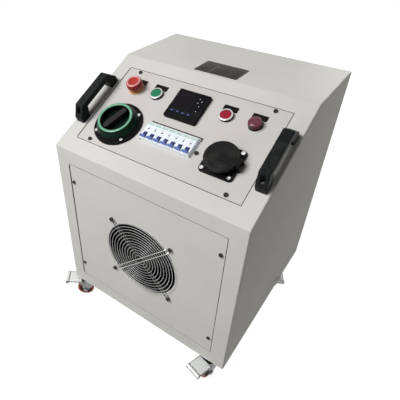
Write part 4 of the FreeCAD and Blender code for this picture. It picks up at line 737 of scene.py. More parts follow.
    def _gloss(self, bench: Bench, shader: Node, finish: Finish, drift: Node) -> None:
        """Sets a finish's roughness and relief.

        Args:
            bench: The bench with the material's nodes.
            shader: The material's shader.
            finish: The finish that is made.
            drift: The node that drifts the colour, whose mask a polished finish follows.
        """
        roughest = min(1.0, finish.roughness * self.MATT_SHARE + self.MATT_EXTRA)
        gloss = bench.node("MapRange", {"To Min": finish.roughness * self.SMOOTH_SHARE,
                                        "To Max": roughest})
        bench.feed(shader, "Roughness", gloss.outputs["Result"])
        if not finish.relief:
            bench.feed(gloss, "Value", drift.outputs["Mask"])
            return
        group = self.lines if finish.relief.grain is Grain.BRUSHED else self.relief
        bumps = bench.node("Group", node_tree=group)
        bench.feed(bumps, "Scale", 1 / MM / finish.relief.size)
        bench.feed(gloss, "Value", bumps.outputs["Mask"])
        bump = bench.node("Bump", {"Strength": 1.0, "Distance": finish.relief.height * MM,
                                   "Height": bumps.outputs["Height"]})
        bench.feed(shader, "Normal", bump.outputs["Normal"])


POWDER_COAT = Relief(Grain.PEEL, 1.4, 0.04)
DRAWN = Relief(Grain.BRUSHED, 0.8, 0.01)
SATIN = Relief(Grain.BRUSHED, 1.0, 0.01)
ROLLED = Relief(Grain.BRUSHED, 1.0, 0.02)
GALVANISED = Relief(Grain.BRUSHED, 1.5, 0.02)
FINE_MOULD = Relief(Grain.MOULDED, 0.6, 0.02)
SOFT_MOULD = Relief(Grain.MOULDED, 0.8, 0.02)
MATT_MOULD = Relief(Grain.MOULDED, 0.9, 0.05)
COARSE_MOULD = Relief(Grain.MOULDED, 1.0, 0.05)
BROAD_MOULD = Relief(Grain.MOULDED, 1.2, 0.03)

PAINT = Finish("cabinet_paint", (0.735, 0.725, 0.692), (0.695, 0.687, 0.657), 0.42, specular=0.05,
    relief=POWDER_COAT, dust=0.06)
PANEL = Finish("panel_paint", (0.68, 0.66, 0.64), (0.645, 0.625, 0.61), 0.38, specular=0.18,
    relief=POWDER_COAT, dust=0.05)
ZINC = Finish("steel_zinc", (0.55, 0.56, 0.57), (0.45, 0.46, 0.48), 0.36, metal=1.0,
    relief=GALVANISED)
BLACK_SCREW = Finish("screw_black", (0.012, 0.012, 0.011), (0.024, 0.022, 0.02), 0.36,
    specular=0.25, relief=FINE_MOULD)
BRIGHT_SCREW = Finish("screw_bright", (0.8, 0.8, 0.8), (0.62, 0.62, 0.62), 0.22, metal=1.0,
    relief=DRAWN)
HANDLE = Finish("handle_black", (0.0065, 0.008, 0.0085), (0.011, 0.013, 0.0135), 0.42,
    specular=0.07, relief=COARSE_MOULD, wear=0.2, worn=(0.07, 0.07, 0.07), dust=0.03)
GUARD = Finish("guard_wire", (0.62, 0.63, 0.62), (0.44, 0.45, 0.44), 0.22, metal=1.0, relief=DRAWN)
# The handle screws glow a little: a painted glint on their heads deep in the counterbores.
HEX_SCREW = Finish("handle_screw", (0.7, 0.7, 0.7), (0.55, 0.55, 0.55), 0.3, metal=0.3,
    relief=DRAWN, glow=0.12, slot="screw_bright")
GUARD_FRONT = Finish("guard_spoke", (0.5, 0.51, 0.5), (0.38, 0.39, 0.38), 0.34, metal=1.0,
    relief=DRAWN, slot="guard_wire")
# A darker copy of the guard's wire for the back spoke: painted shade, as it lies behind the rings.
GUARD_BACK_PAINTED_SHADE = Finish("guard_back_spoke", (0.2, 0.2, 0.19), (0.12, 0.12, 0.115), 0.3, metal=1.0,
    relief=DRAWN, slot="guard_wire")
FAN = Finish("fan_black", (0.0035, 0.0035, 0.0035), (0.006, 0.006, 0.006), 0.5, specular=0.08,
    relief=BROAD_MOULD, dust=0.015)
SHEET = Finish("resistor_sheet", (0.5, 0.5, 0.49), (0.4, 0.4, 0.39), 0.4, metal=1.0,
    relief=Relief(Grain.BRUSHED, 1.6, 0.02))
CERAMIC = Finish("resistor_ceramic", (0.28, 0.34, 0.29), (0.2, 0.25, 0.21), 0.35,
    relief=Relief(Grain.BRUSHED, 2.4, 0.3))
# The breakers' white glows a little: painted light that lifts their faces as if lit from the front.
BREAKER = Finish("breaker_white", (0.82, 0.87, 0.9), (0.78, 0.83, 0.88), 0.3, specular=0.4,
    relief=SOFT_MOULD, glow=0.16)
TOGGLE = Finish("toggle_blue", (0.045, 0.095, 0.44), (0.08, 0.16, 0.54), 0.28, specular=0.5,
    relief=SOFT_MOULD)
# A darker copy of the toggles' blue for their hubs: painted shade, as the hubs lie in shadow.
TOGGLE_PAINTED_SHADE = Finish("toggle_blue_painted_shade", (0.01, 0.022, 0.15), (0.014, 0.032, 0.19), 0.3, specular=0.2,
    relief=SOFT_MOULD, slot="toggle_blue")
METER = Finish("meter_black", (0.0045, 0.004, 0.0052), (0.0075, 0.007, 0.0082), 0.42, specular=0.05,
    relief=Relief(Grain.MOULDED, 0.7, 0.04), dust=0.02)
WINDOW = Finish("meter_window", (0.0045, 0.0042, 0.0062), (0.008, 0.007, 0.01), 0.24, specular=0.06)
DIGIT = Finish("meter_digit", (0.016, 0.012, 0.016), (0.021, 0.016, 0.021), 0.3, specular=0.06,
    slot="meter_window")
KEYS = Finish("meter_keys", (0.008, 0.013, 0.05), (0.012, 0.018, 0.07), 0.4, specular=0.15,
    relief=FINE_MOULD)
DEVICE = Finish("device_black", (0.004, 0.004, 0.0045), (0.008, 0.0075, 0.0085), 0.38, specular=0.1,
    relief=Relief(Grain.MOULDED, 0.8, 0.03))
ESTOP = Finish("estop_red", (0.27, 0.012, 0.013), (0.35, 0.022, 0.02), 0.24, specular=0.25,
    relief=Relief(Grain.MOULDED, 1.2, 0.02), wear=0.2, worn=(0.75, 0.2, 0.18))
# A pale pink copy of the head's red for the ring on its rim: a painted highlight.
ESTOP_PAINTED_HIGHLIGHT = Finish("estop_red_painted_highlight", (0.72, 0.27, 0.28), (0.78, 0.36, 0.36), 0.2, specular=0.6,
    slot="estop_red")
# A lighter, oranger copy of the head's red for its dish: painted light on the head's top.
ESTOP_DISH_PAINTED_LIGHT = Finish("estop_dish", (0.5, 0.05, 0.028), (0.36, 0.022, 0.02), 0.3, specular=0.2,
    slot="estop_red")
# The flange's peach is the red head's reflection, painted on a plain ring.
ESTOP_FLANGE_PAINTED_REFLECTION = Finish("estop_flange", (0.75, 0.42, 0.2), (0.82, 0.56, 0.36), 0.26, specular=0.6,
    relief=SATIN, slot="device_black")
# The collar's dark orange is painted shade under the head, tinted as the head's red reflection.
ESTOP_COLLAR_PAINTED_SHADE = Finish("estop_neck_painted_shade", (0.42, 0.17, 0.06), (0.5, 0.22, 0.08), 0.3, specular=0.4,
    relief=SATIN)
GREEN_CAP = Finish("cap_green", (0.006, 0.17, 0.075), (0.01, 0.23, 0.105), 0.24, specular=0.25)
RED_CAP = Finish("cap_red", (0.3, 0.003, 0.022), (0.4, 0.01, 0.036), 0.22, specular=0.25)
LENS = Finish("lens_red", (0.035, 0.002, 0.006), (0.08, 0.004, 0.013), 0.14, specular=0.25)
# A lighter, pinker copy of the lens's red over its crown: a painted highlight.
LENS_PAINTED_HIGHLIGHT = Finish("lens_red_painted_highlight", (0.1, 0.008, 0.024), (0.34, 0.1, 0.15), 0.16, specular=0.25,
    relief=Relief(Grain.MOULDED, 5.0, 0.5), slot="lens_red")
BEZEL = Finish("bezel_chrome", (0.66, 0.66, 0.65), (0.54, 0.54, 0.53), 0.26, metal=0.9,
    relief=DRAWN)
LABEL = Finish("label_black", (0.005, 0.0045, 0.004), (0.009, 0.008, 0.0072), 0.42, specular=0.07,
    relief=ROLLED)
BRONZE = Finish("nameplate_bronze", (0.02, 0.018, 0.0145), (0.034, 0.031, 0.025), 0.45,
    specular=0.05, relief=ROLLED, dust=0.02)
RULE = Finish("nameplate_rule", (0.1, 0.09, 0.075), (0.42, 0.38, 0.32), 0.4, specular=0.1,
    relief=SATIN, slot="nameplate_bronze")
SWITCH = Finish("switch_black", (0.0035, 0.003, 0.0038), (0.006, 0.0055, 0.0065), 0.3,
    specular=0.07, relief=BROAD_MOULD)
SWITCH_CONE = Finish("switch_green", (0.0006, 0.011, 0.0055), (0.001, 0.022, 0.011), 0.2,
    specular=0.07, relief=Relief(Grain.MOULDED, 1.4, 0.02), slot="switch_black")
SWITCH_WELL = Finish("switch_well", (0.0015, 0.006, 0.004), (0.003, 0.01, 0.0065), 0.3,
    specular=0.08, slot="switch_black")
SWITCH_RING = Finish("switch_ring", (0.06, 0.3, 0.16), (0.22, 0.52, 0.34), 0.14, specular=0.6,
    slot="switch_black")
GRIP = Finish("grip_grey", (0.014, 0.0125, 0.014), (0.022, 0.02, 0.022), 0.36, specular=0.14,
    relief=Relief(Grain.MOULDED, 0.9, 0.04), wear=0.3, worn=(0.1, 0.09, 0.09), slot="switch_black")
SOCKET = Finish("socket_black", (0.003, 0.003, 0.0035), (0.006, 0.006, 0.0065), 0.36, specular=0.08,
    relief=MATT_MOULD, dust=0.02)
LID = Finish("socket_lid_black", (0.008, 0.008, 0.0082), (0.014, 0.014, 0.0142), 0.3, specular=0.08,
    relief=MATT_MOULD, dust=0.03, slot="socket_black")
# The pedals' steel is kept dark: painted dark reflection, against which the painted highlight on
# their tops stands out.
PEDAL_STEEL_DARKENED = Finish("caster_steel", (0.3, 0.31, 0.3), (0.17, 0.175, 0.17), 0.26, metal=0.8,
    specular=0.3, relief=Relief(Grain.BRUSHED, 1.5, 0.015))
# A bright copy of the pedal steel for the upward plate and the top of the rolled tip: a painted
# highlight.
PEDAL_HIGHLIGHT = Finish("pedal_painted_highlight", (0.9, 0.92, 0.9), (0.8, 0.82, 0.81), 0.22, metal=0.2, specular=0.6,
    relief=Relief(Grain.BRUSHED, 1.2, 0.01), slot="caster_steel")
FORK = Finish("caster_fork_steel", (0.26, 0.26, 0.26), (0.16, 0.16, 0.16), 0.24, metal=1.0,
    relief=GALVANISED, slot="caster_steel")
TREAD = Finish("caster_tread", (0.5, 0.085, 0.035), (0.42, 0.065, 0.028), 0.38, specular=0.4,
    relief=Relief(Grain.MOULDED, 1.2, 0.04), dust=0.1)
CORE = Finish("wheel_core_black", (0.008, 0.0075, 0.007), (0.014, 0.013, 0.012), 0.4, specular=0.2,
    relief=COARSE_MOULD, dust=0.08, slot="caster_tread")
WHITE_MARK = Finish("mark_white", (0.75, 0.77, 0.85), (0.65, 0.67, 0.78), 0.35, glow=0.2, slot="")
# The key marks glow a little: painted light that makes them read as bright glints.
KEY_MARK = Finish("mark_blue", (0.16, 0.2, 0.42), (0.24, 0.3, 0.55), 0.35, glow=0.1, slot="")
PALE_LABEL = Finish("breaker_label", (0.5, 0.66, 0.62), (0.58, 0.72, 0.68), 0.35, specular=0.3,
    slot="")
PRINT = Finish("breaker_print", (0.25, 0.33, 0.36), (0.4, 0.48, 0.5), 0.4, specular=0.3, slot="")
# Black rubber for the seals and the fan's edging, and also for strips that are painted shadow
# beside the panels and above the breakers.
SEAL_AND_SHADOW = Finish("seal_and_shadow_black", (0.008, 0.0075, 0.007), (0.014, 0.013, 0.012), 0.7, specular=0.1,
    relief=Relief(Grain.MOULDED, 0.8, 0.05), slot="")


def put_in_scene(name: str, data: ID) -> Object:
    """Puts a mesh, a light or a camera in the scene.

    Args:
        name: The name of its object.
        data: The mesh, the light or the camera.

    Returns:
        The object that holds it.
    """
    thing = bpy.data.objects.new(name, data)
    bpy.context.scene.collection.objects.link(thing)
    return thing


@dataclass
class SubAssembly:
    """A group of pieces that is built and dressed together.

    Attributes:
        workshop: Makes the materials.
        nodes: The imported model's nodes.
        pieces: Names of the pieces that were made.
        dressed: Names of the nodes that got a finish.
        covered: Names of the nodes that a piece is shown in place of.
    """

    workshop: ShaderWorkshop
    nodes: dict[str, Object]
    pieces: list[str] = field(default_factory=list, init=False)
    dressed: list[str] = field(default_factory=list, init=False)
    covered: list[str] = field(default_factory=list, init=False)

    def build(self) -> None:
        """Builds the group's pieces and dresses its nodes."""
        raise NotImplementedError

    def dress(self, finish: Finish, *names: str) -> None:
        """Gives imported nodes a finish.

        Args:
            finish: The finish they get.
            *names: The nodes.
        """
        material = self.workshop.material(finish)
        for name in names:
            mesh = self.nodes[name].data
            mesh.materials.clear()
            mesh.materials.append(material)
            self.dressed.append(name)

    def piece(self, name: str, form: Form, place: Place, finish: Finish, body: str = "root",
              stands_for: Sequence[str] = (), crease: float = 35.0) -> None:
        """Makes a mesh piece of a form.

        Args:
            name: The piece's name.
            form: Its shape.
            place: The frame it is drawn in.
            finish: Its finish.
            body: The body it moves with.
            stands_for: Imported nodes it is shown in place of.
            crease: Edges sharper than this many degrees stay sharp.
        """
        mesh = bpy.data.meshes.new(name)
        mesh.from_pydata([place.put(point) for point in form.points], [], form.faces)
        mesh.validate()
        mesh.polygons.foreach_set("use_smooth", [True] * len(mesh.polygons))
        mesh.set_sharp_from_angle(angle=math.radians(crease))
        mesh.materials.append(self.workshop.material(finish))
        piece = put_in_scene(name, mesh)
        if stands_for:
            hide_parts(*stands_for)
            self.covered += stands_for
        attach(piece, body)
        self.pieces.append(name)


@dataclass
class Cabinet(SubAssembly):
    """The sheet metal cabinet, its panels, handles, screws and plates.

    Attributes:
        panels: Name, face and length of each flush panel, and the width of the black strip at its
            left, which is painted shadow in that seam.
    """

    panels: tuple[tuple[str, Face, float, float], ...] = (
        ("front", Face.FRONT, 380.0, 3.2), ("rear", Face.BACK, 520.0, 0.0),
        ("control", Face.CONTROL, 230.0, 2.2))
    panel_width: float = 420.0
    gap: float = 1.5
    seal_play: float = 0.15
    seal_corner: float = 0.1
    seal_top: float = -0.3
    seal_foot: float = -1.9
    shadow_bead_margin: float = 3.0
    shadow_bead_top: float = 0.5
    plate_width: float = 112.0
    plate_length: float = 70.0
    plate_corner: float = 3.0
    plate_setback: float = 10.0
    plate_thickness: float = 0.6
    rule_margin: float = 4.0
    rule_width: float = 0.7
    rule_height: float = 0.1
    rule_corners: Point2 = (2.0, 1.6)
    rule_end: float = 0.2
    rule_rows: int = 6
    rivet_margin: float = 2.2
    rivet_radius: float = 1.2
    rivet_height: float = 0.2

    def build(self) -> None:
        """Dresses the sheet metal, seals its panels, lays black strips of painted shadow in two of
        their left seams and makes the bare plate on the top.
        """
        self.dress(PAINT, "cabinet_shell", "front_panel", "rear_panel")
        self.dress(PANEL, "control_panel")
        self.dress(ZINC, "floor_pan", "din_rail")
        self.dress(BLACK_SCREW, "panel_screws", "fan_screws")
        self.dress(HEX_SCREW, "handle_screws")
        self.dress(HANDLE, "handle_left", "handle_right")
        self.dress(SHEET, "resistor_frame")
        self.dress(CERAMIC, "resistor_elements")
        for name, face, length, shadow_bead in self.panels:
            self.build_seal(name, face_place(face), length, shadow_bead)
        self.build_nameplate()

    def build_seal(self, name: str, place: Place, length: float, shadow_bead: float) -> None:
        """Lays a rubber strip in the gap round a flush panel, and on its left a raised black strip
        that is painted shadow in that seam.

        Args:
            name: The panel's name.
            place: The face it closes.
            length: The panel's length.
            shadow_bead: Width of the black strip of painted shadow on its left, or nought for none.
        """
        outlines = [box_outline(self.panel_width + reach * 2, length + reach * 2,
                                self.seal_corner)
                    for reach in (self.gap - self.seal_play, self.seal_play)]
        self.piece(f"{name}_panel_seal", hoop(*outlines, self.seal_foot, self.seal_top), place,
                   SEAL_AND_SHADOW)
        # A black strip on the panel's left edge: painted shadow of that seam
        if shadow_bead:
            outline = box_outline(shadow_bead, length - self.shadow_bead_margin * 2, shadow_bead / 3)
            side = prism(outline, self.seal_top, self.shadow_bead_top, rim=0.2)
            self.piece(f"{name}_panel_painted_shadow", side, place.at(-(self.panel_width + self.gap) / 2),
                       SEAL_AND_SHADOW)

    def build_nameplate(self) -> None:
        """Makes the plate with ruled rows, rivets and no words."""
        place = face_place(Face.TOP).at(along=self.plate_setback + self.plate_length / 2)
        outline = box_outline(self.plate_width, self.plate_length, self.plate_corner)
        top, rule, rows = self.plate_thickness, self.rule_width, self.rule_rows
        self.piece("nameplate_blank", prism(outline, 0.0, top, rim=0.2), place, BRONZE,
                   stands_for=["nameplate"])
        high = top + self.rule_height
        width, length = (size - self.rule_margin * 2
                         for size in (self.plate_width, self.plate_length))
        (outer, inner), fine = self.rule_corners, self.rule_end
        rules = hoop(box_outline(width, length, outer),
                     box_outline(width - rule * 2, length - rule * 2, inner), top, high)
        line = prism(box_outline(width - rule * 2, rule, fine, steps=1), top, high)
        rules.add(line.copies((0.0, length * (row / rows - 0.5)) for row in range(1, rows)))
        column = prism(box_outline(rule, length * (1 - 1 / rows), fine, steps=1), top, high)
        rules.add(column.shifted(-width / 6, -length / rows / 2))
        self.piece("nameplate_rules", rules, place, RULE)
        across = self.plate_width / 2 - self.rivet_margin
        along = self.plate_length / 2 - self.rivet_margin
        rivet = dome(self.rivet_radius, self.rivet_height, spans=12, steps=2).shifted(out=top)
        rivets = rivet.copies((side * across, end * along) for side in (-1, 1) for end in (-1, 1))
        self.piece("nameplate_rivets", rivets, place, RULE)


@dataclass
class Fan(SubAssembly):
    """The fan behind the front panel and the wire guard before it."""

    guard_turn: float = 45.0
    guard_radius: float = 102.4
    inner_radius: float = 14.0
    ring_count: int = 12
    ring_thickness: float = 1.25
    opening: float = 97.5
    edging_radius: float = 100.4
    edging_top: float = 0.4
    thickness: float = 2.2
    loop_half: float = 4.7
    loop_spans: int = 12
    screw_pitch: float = 168.0

    def build(self) -> None:
        """Dresses the fan and makes the guard of round wire."""
        self.dress(FAN, "fan_frame", "fan_impeller")
        radius = self.thickness / 2
        # Heights of the back spoke, of the rings between the spokes, and of the front spoke
        back, middle, front = radius, radius * 3, radius * 5
        place = face_place(Face.FRONT).at(turn=self.guard_turn)
        rings = Form()
        for step in range(self.ring_count):
            share = step / (self.ring_count - 1)
            ring = self.inner_radius + (self.guard_radius - self.inner_radius) * share
            rings.add(wire(circle_path(ring, middle), self.ring_thickness / 2))
        self.piece("guard_rings", rings, place, GUARD, stands_for=["fan_guard"])
        outer, inner = (circle(reach, steps=96) for reach in (self.edging_radius, self.opening))
        edging = hoop(outer, inner, 0.0, self.edging_top)
        self.piece("fan_opening_edging", edging, place, SEAL_AND_SHADOW)
        self.piece("guard_front_spoke", self.hairpin(front), place, GUARD_FRONT)
        self.piece("guard_back_spoke", self.hairpin(back), place.at(turn=90), GUARD_BACK_PAINTED_SHADE)

    def hairpin(self, height: float) -> Form:
        """Bends a closed spoke that steps down to the panel beyond the last ring.

        Args:
            height: Height of its middle over the panel, where it crosses the rings.

        Returns:
            The spoke, along X.
        """
        radius, reach = self.thickness / 2, self.screw_pitch / math.sqrt(2)
        start, step = self.guard_radius + radius * 1.5, radius * 4
        bends = [start - radius, start, start + radius, start + step - radius, start + step,
                 start + step + radius, reach]
        half = sorted([-bend for bend in bends] + bends)

        def side(along: float, run: Sequence[float]) -> list[Vector]:
            """One straight side of the spoke, which steps down near its ends."""
            shares = [min(1.0, max(0.0, (abs(across) - start) / step)) for across in run]
            return [Vector((across, along, height + (radius - height) * share))
                    for across, share in zip(run, shares)]

        def loop(end: float, turn: float) -> list[Vector]:
            """The half round end of the spoke about one of its screws."""
            turns = [turn + math.pi * bend / self.loop_spans
                     for bend in range(1, self.loop_spans)]
            return [Vector((end + self.loop_half * math.cos(angle),
                            self.loop_half * math.sin(angle), radius)) for angle in turns]

        return wire(side(-self.loop_half, half) + loop(reach, -math.pi / 2)
                    + side(self.loop_half, half[::-1]) + loop(-reach, math.pi / 2), radius)


@dataclass(frozen=True)
class Lamp:
    """A square soft light that faces the object.

    Attributes:
        name: Its name.
        place: Where it hangs, in metres.
        size: Its side in metres.
        power: Its power in watts.
        colour: Its colour.
    """

    name: str
    place: Point3
    size: float
    power: float
    colour: Colour


@dataclass
class Studio:
    """The floor, the lights and the camera, in metres.

    Attributes:
        axes: The camera's right, its up and its back on the object.
        focal_share: The camera's focal length as a share of its sensor's width.
        sensor: Width of the camera's sensor in millimetres.
        aim: The point that every light faces.
    """

    eye: Point3 = (0.42397, -0.74761, 1.0223)
    axes: tuple[Point3, ...] = ((0.80540, 0.59270, 0.00598), (-0.35893, 0.47965, 0.80069),
                                (0.47170, -0.64703, 0.59905))
    focal_share: float = 401.2 / 400
    sensor: float = 36.0
    shift: Point2 = (0.117, -0.036)
    floor_half: float = 6.0
    floor_colour: Colour = (0.28, 0.265, 0.235)
    floor_glow: Colour = (0.92, 0.925, 0.935)
    floor_roughness: float = 0.7
    floor_specular: float = 0.1
    surroundings: float = 0.06
    aim: Point3 = (0.0, 0.0, 0.4)
    lamps: tuple[Lamp, ...] = (
        Lamp("light_key", (-1.05, -1.75, 2.6), 1.5, 78.0, (1.0, 0.998, 0.99)),
        Lamp("light_front", (-0.2, -2.9, 0.6), 1.2, 9.5, (0.99, 0.995, 1.0)),
        Lamp("light_right", (2.6, 0.3, 1.3), 1.6, 2.2, (1.0, 0.985, 0.94)),
        Lamp("light_back", (0.3, 2.9, 1.5), 1.6, 36.0, (1.0, 0.995, 0.98)))

    def build(self) -> None:
        """Sets up the whole studio."""
        self.build_floor()
        for lamp in self.lamps:
            self.build_lamp(lamp)
        self.build_surroundings()
        self.build_camera()
        bpy.context.scene.view_settings.view_transform = "Standard"

    def build_floor(self) -> None:
        """Lays a pale floor that keeps the object's shadow."""
        mesh = bpy.data.meshes.new("studio_floor")
        corners = [(across * self.floor_half, along * self.floor_half, 0)
                   for across, along in ((-1, -1), (1, -1), (1, 1), (-1, 1))]
        mesh.from_pydata(corners, [], [(0, 1, 2, 3)])
        material = bpy.data.materials.new("studio_floor")
        material.use_nodes = True
        bench = Bench(material.node_tree)
        shader = bench.tree.nodes["Principled BSDF"]
        for label, value in (("Base Color", (*self.floor_colour, 1)),
                             ("Roughness", self.floor_roughness),
                             ("Specular IOR Level", self.floor_specular),
                             ("Emission Color", (*self.floor_glow, 1)),
                             ("Emission Strength", bench.shown_rays())):
            bench.feed(shader, label, value)
        mesh.materials.append(material)
        put_in_scene("studio_floor", mesh)

    def build_lamp(self, lamp: Lamp) -> None:
        """Hangs a soft light.

        Args:
            lamp: The light to hang.
        """
        data = bpy.data.lights.new(lamp.name, "AREA")
        data.size = lamp.size
        data.energy = lamp.power
        data.color = lamp.colour
        light = put_in_scene(lamp.name, data)
        light.location = lamp.place
        aim = Vector(self.aim) - Vector(lamp.place)
        light.rotation_euler = aim.to_track_quat("-Z", "Y").to_euler()

    def build_surroundings(self) -> None:
        """Makes the world white where it is seen, and dim where it lights the object."""
        world = bpy.data.worlds.new("studio_world")
        bpy.context.scene.world = world
        world.use_nodes = True
        bench = Bench(world.node_tree)
        backdrop = bench.tree.nodes["Background"]
        bench.feed(backdrop, "Color", (1, 1, 1, 1))
        strength = bench.node("MapRange", {"Value": bench.shown_rays(),
                                           "To Min": self.surroundings, "To Max": 1.0})
        bench.feed(backdrop, "Strength", strength.outputs["Result"])

    def build_camera(self) -> None:
        """Places the camera where the photograph was taken from."""
        data = bpy.data.cameras.new("camera")
        data.sensor_width = self.sensor
        data.lens = self.sensor * self.focal_share
        data.shift_x, data.shift_y = self.shift
        camera = put_in_scene("camera", data)
        axes = Matrix(self.axes).transposed().to_4x4()
        camera.matrix_world = Matrix.Translation(self.eye) @ axes
        bpy.context.scene.camera = camera


@dataclass
class Controls(SubAssembly):
    """The emergency stop, the push buttons, the lamp and their label strips.

    Attributes:
        head_section: Section of the head, as radius and height over its top.
        ring_section: Section of the ring on the head, measured so too.
        dish_section: Section of the dish in the head, measured so too.
        flange_section: Section of the flange under the head, over the panel.
        bezel_section: Section of a bezel, measured from its edge and its top.
        cap_crown: Crown of a button's cap, measured from its edge and its top.
    """

    row: float = 59.7
    estop_x: float = -155.0
    start_x: float = -95.0
    stop_x: float = 86.0
    lamp_x: float = 153.0
    head_top: float = 26.8
    head_section: Section = ((6.1, -13.75), (19.5, -13.75), (19.5, -7.25), (19.0, -2.95),
                             (17.4, -0.7), (12.0, -1.2), (6.0, -2.4), (0.0, -2.8))
    ring_section: Section = ((17.7, -1.9), (17.3, -0.9), (16.4, -0.2), (15.2, 0.0),
                             (13.9, -0.1), (13.0, -0.6), (12.6, -1.8))
    dish_section: Section = ((12.9, -3.0), (12.9, -1.0), (6.0, -2.2), (0.0, -2.55))
    flange_section: Section = ((19.8, 1.05), (19.8, 2.8), (19.5, 3.08), (14.8, 3.08),
                               (14.8, 1.05))
    pin_radius: float = 6.1
    pin_top: float = 22.3
    bezel_radius: float = 15.9
    bezel_top: float = 8.1
    bezel_section: Section = ((0.0, -2.0), (0.0, -1.05), (-0.35, -0.35), (-1.05, 0.0),
                              (-3.35, 0.0), (-3.35, -0.5), (-1.2, -0.3), (-0.3, -1.2),
                              (-0.3, -2.0))
    cap_radius: float = 12.35
    cap_foot: float = 4.7
    cap_top: float = 8.5
    cap_crown: Section = ((0.0, -0.8), (-3.0, -0.15), (-12.35, 0.0))
    cap_stem: float = 10.0
    stem_radius: float = 5.95
    lens_radius: float = 14.4
    lens_foot: float = 3.0
    lens_shoulder: float = 11.4
    lens_top: float = 16.4
    lens_ribs: int = 24
    rib_depth: float = 0.35
    crown_rise: float = 0.12
    crown_spans: int = 12

    def build(self) -> None:
        """Dresses the devices and makes what shows of them."""
        panel = face_place(Face.CONTROL)
        # The collar's dark orange is painted shade and a painted red reflection
        self.dress(ESTOP_COLLAR_PAINTED_SHADE, "estop_collar")
        self.dress(DEVICE, "start_button_body", "stop_button_body", "lamp_body")
        self.dress(ZINC, "estop_stem")
        self.dress(LABEL, "label_plates")
        self.build_estop(panel.at(self.estop_x, self.row))
        self.build_button("start", panel.at(self.start_x, self.row), GREEN_CAP)
        self.build_button("stop", panel.at(self.stop_x, self.row), RED_CAP)
        self.build_lamp(panel.at(self.lamp_x, self.row))

    def build_estop(self, place: Place) -> None:
        """Makes the emergency stop's head, its ring and its flange; the ring, the dish and the
        flange carry painted light.

        Args:
            place: The device's frame on the panel.
        """
        top = self.head_top
        head = soften(beside(self.head_section, 0, top), radius=1.6, closed=False)
        bore = [(0.0, self.pin_top), (self.pin_radius, self.pin_top)]
        self.piece("estop_mushroom", turned(bore + head), place, ESTOP, "estop_head",
                   ["estop_head"])
        # The ring is painted pink as a highlight along the head's rim
        ring = turned(beside(self.ring_section, 0, top), loop=True)
        self.piece("estop_ring", ring, place, ESTOP_PAINTED_HIGHLIGHT, "estop_head")
        # The dish is a lighter red: painted light on the head's top
        dish = turned(beside(self.dish_section, 0, top), spans=72)
        self.piece("estop_dish", dish, place, ESTOP_DISH_PAINTED_LIGHT, "estop_head")
        # The flange's peach is a painted reflection of the red head
        self.piece("estop_flange", turned(self.flange_section, loop=True), place, ESTOP_FLANGE_PAINTED_REFLECTION)

    def build_button(self, name: str, place: Place, finish: Finish) -> None:
        """Makes a push button's bright bezel and its cap.

        Args:
            name: The button's name.
            place: The button's frame on the panel.
            finish: The cap's finish.
        """
        bezel = beside(self.bezel_section, self.bezel_radius, self.bezel_top)
        self.piece(f"{name}_bezel", turned(bezel, loop=True), place, BEZEL)
        radius, stem, foot = self.cap_radius, self.stem_radius, self.cap_foot
        crown = beside(self.cap_crown, radius, self.cap_top)
        cap = soften([(stem, foot), (radius, foot)] + crown, radius=0.9, closed=False)
        shank = [(0.0, foot - self.cap_stem), (stem, foot - self.cap_stem)]
        self.piece(f"{name}_cap", turned(shank + cap), place, finish, f"{name}_button_cap",
                   [f"{name}_button_cap"])

    def build_lamp(self, place: Place) -> None:
        """Makes the signal lamp's ribbed lens, with a lighter red layer on its crown as a painted
        highlight.

        Args:
            place: The lamp's frame on the panel.
        """
        def ribbed(angle: float, radius: float, height: float) -> float:
            """A radius that the ribs on the lens's side draw in."""
            depth = self.rib_depth if height < self.lens_shoulder + TINY else 0.0
            return radius - depth * (1 - math.cos(angle * self.lens_ribs)) / 2

        radius, rise = self.lens_radius, self.lens_top - self.lens_shoulder
        turns = [math.pi / 2 * step / self.crown_spans for step in range(self.crown_spans)]
        crown = [(radius * math.cos(angle), self.lens_shoulder + rise * math.sin(angle))
                 for angle in turns] + [(0.0, self.lens_top)]
        profile = [(0.0, self.lens_foot), (radius, self.lens_foot)] + crown
        self.piece("lamp_dome", turned(profile, self.lens_ribs * 6, swell=ribbed), place, LENS,
                   stands_for=["lamp_lens"])
        # A lighter red layer over the crown: a painted highlight
        painted_shine = turned(beside(crown[2:], 0, self.crown_rise), spans=72)
        self.piece("lamp_painted_highlight", painted_shine, place, LENS_PAINTED_HIGHLIGHT)


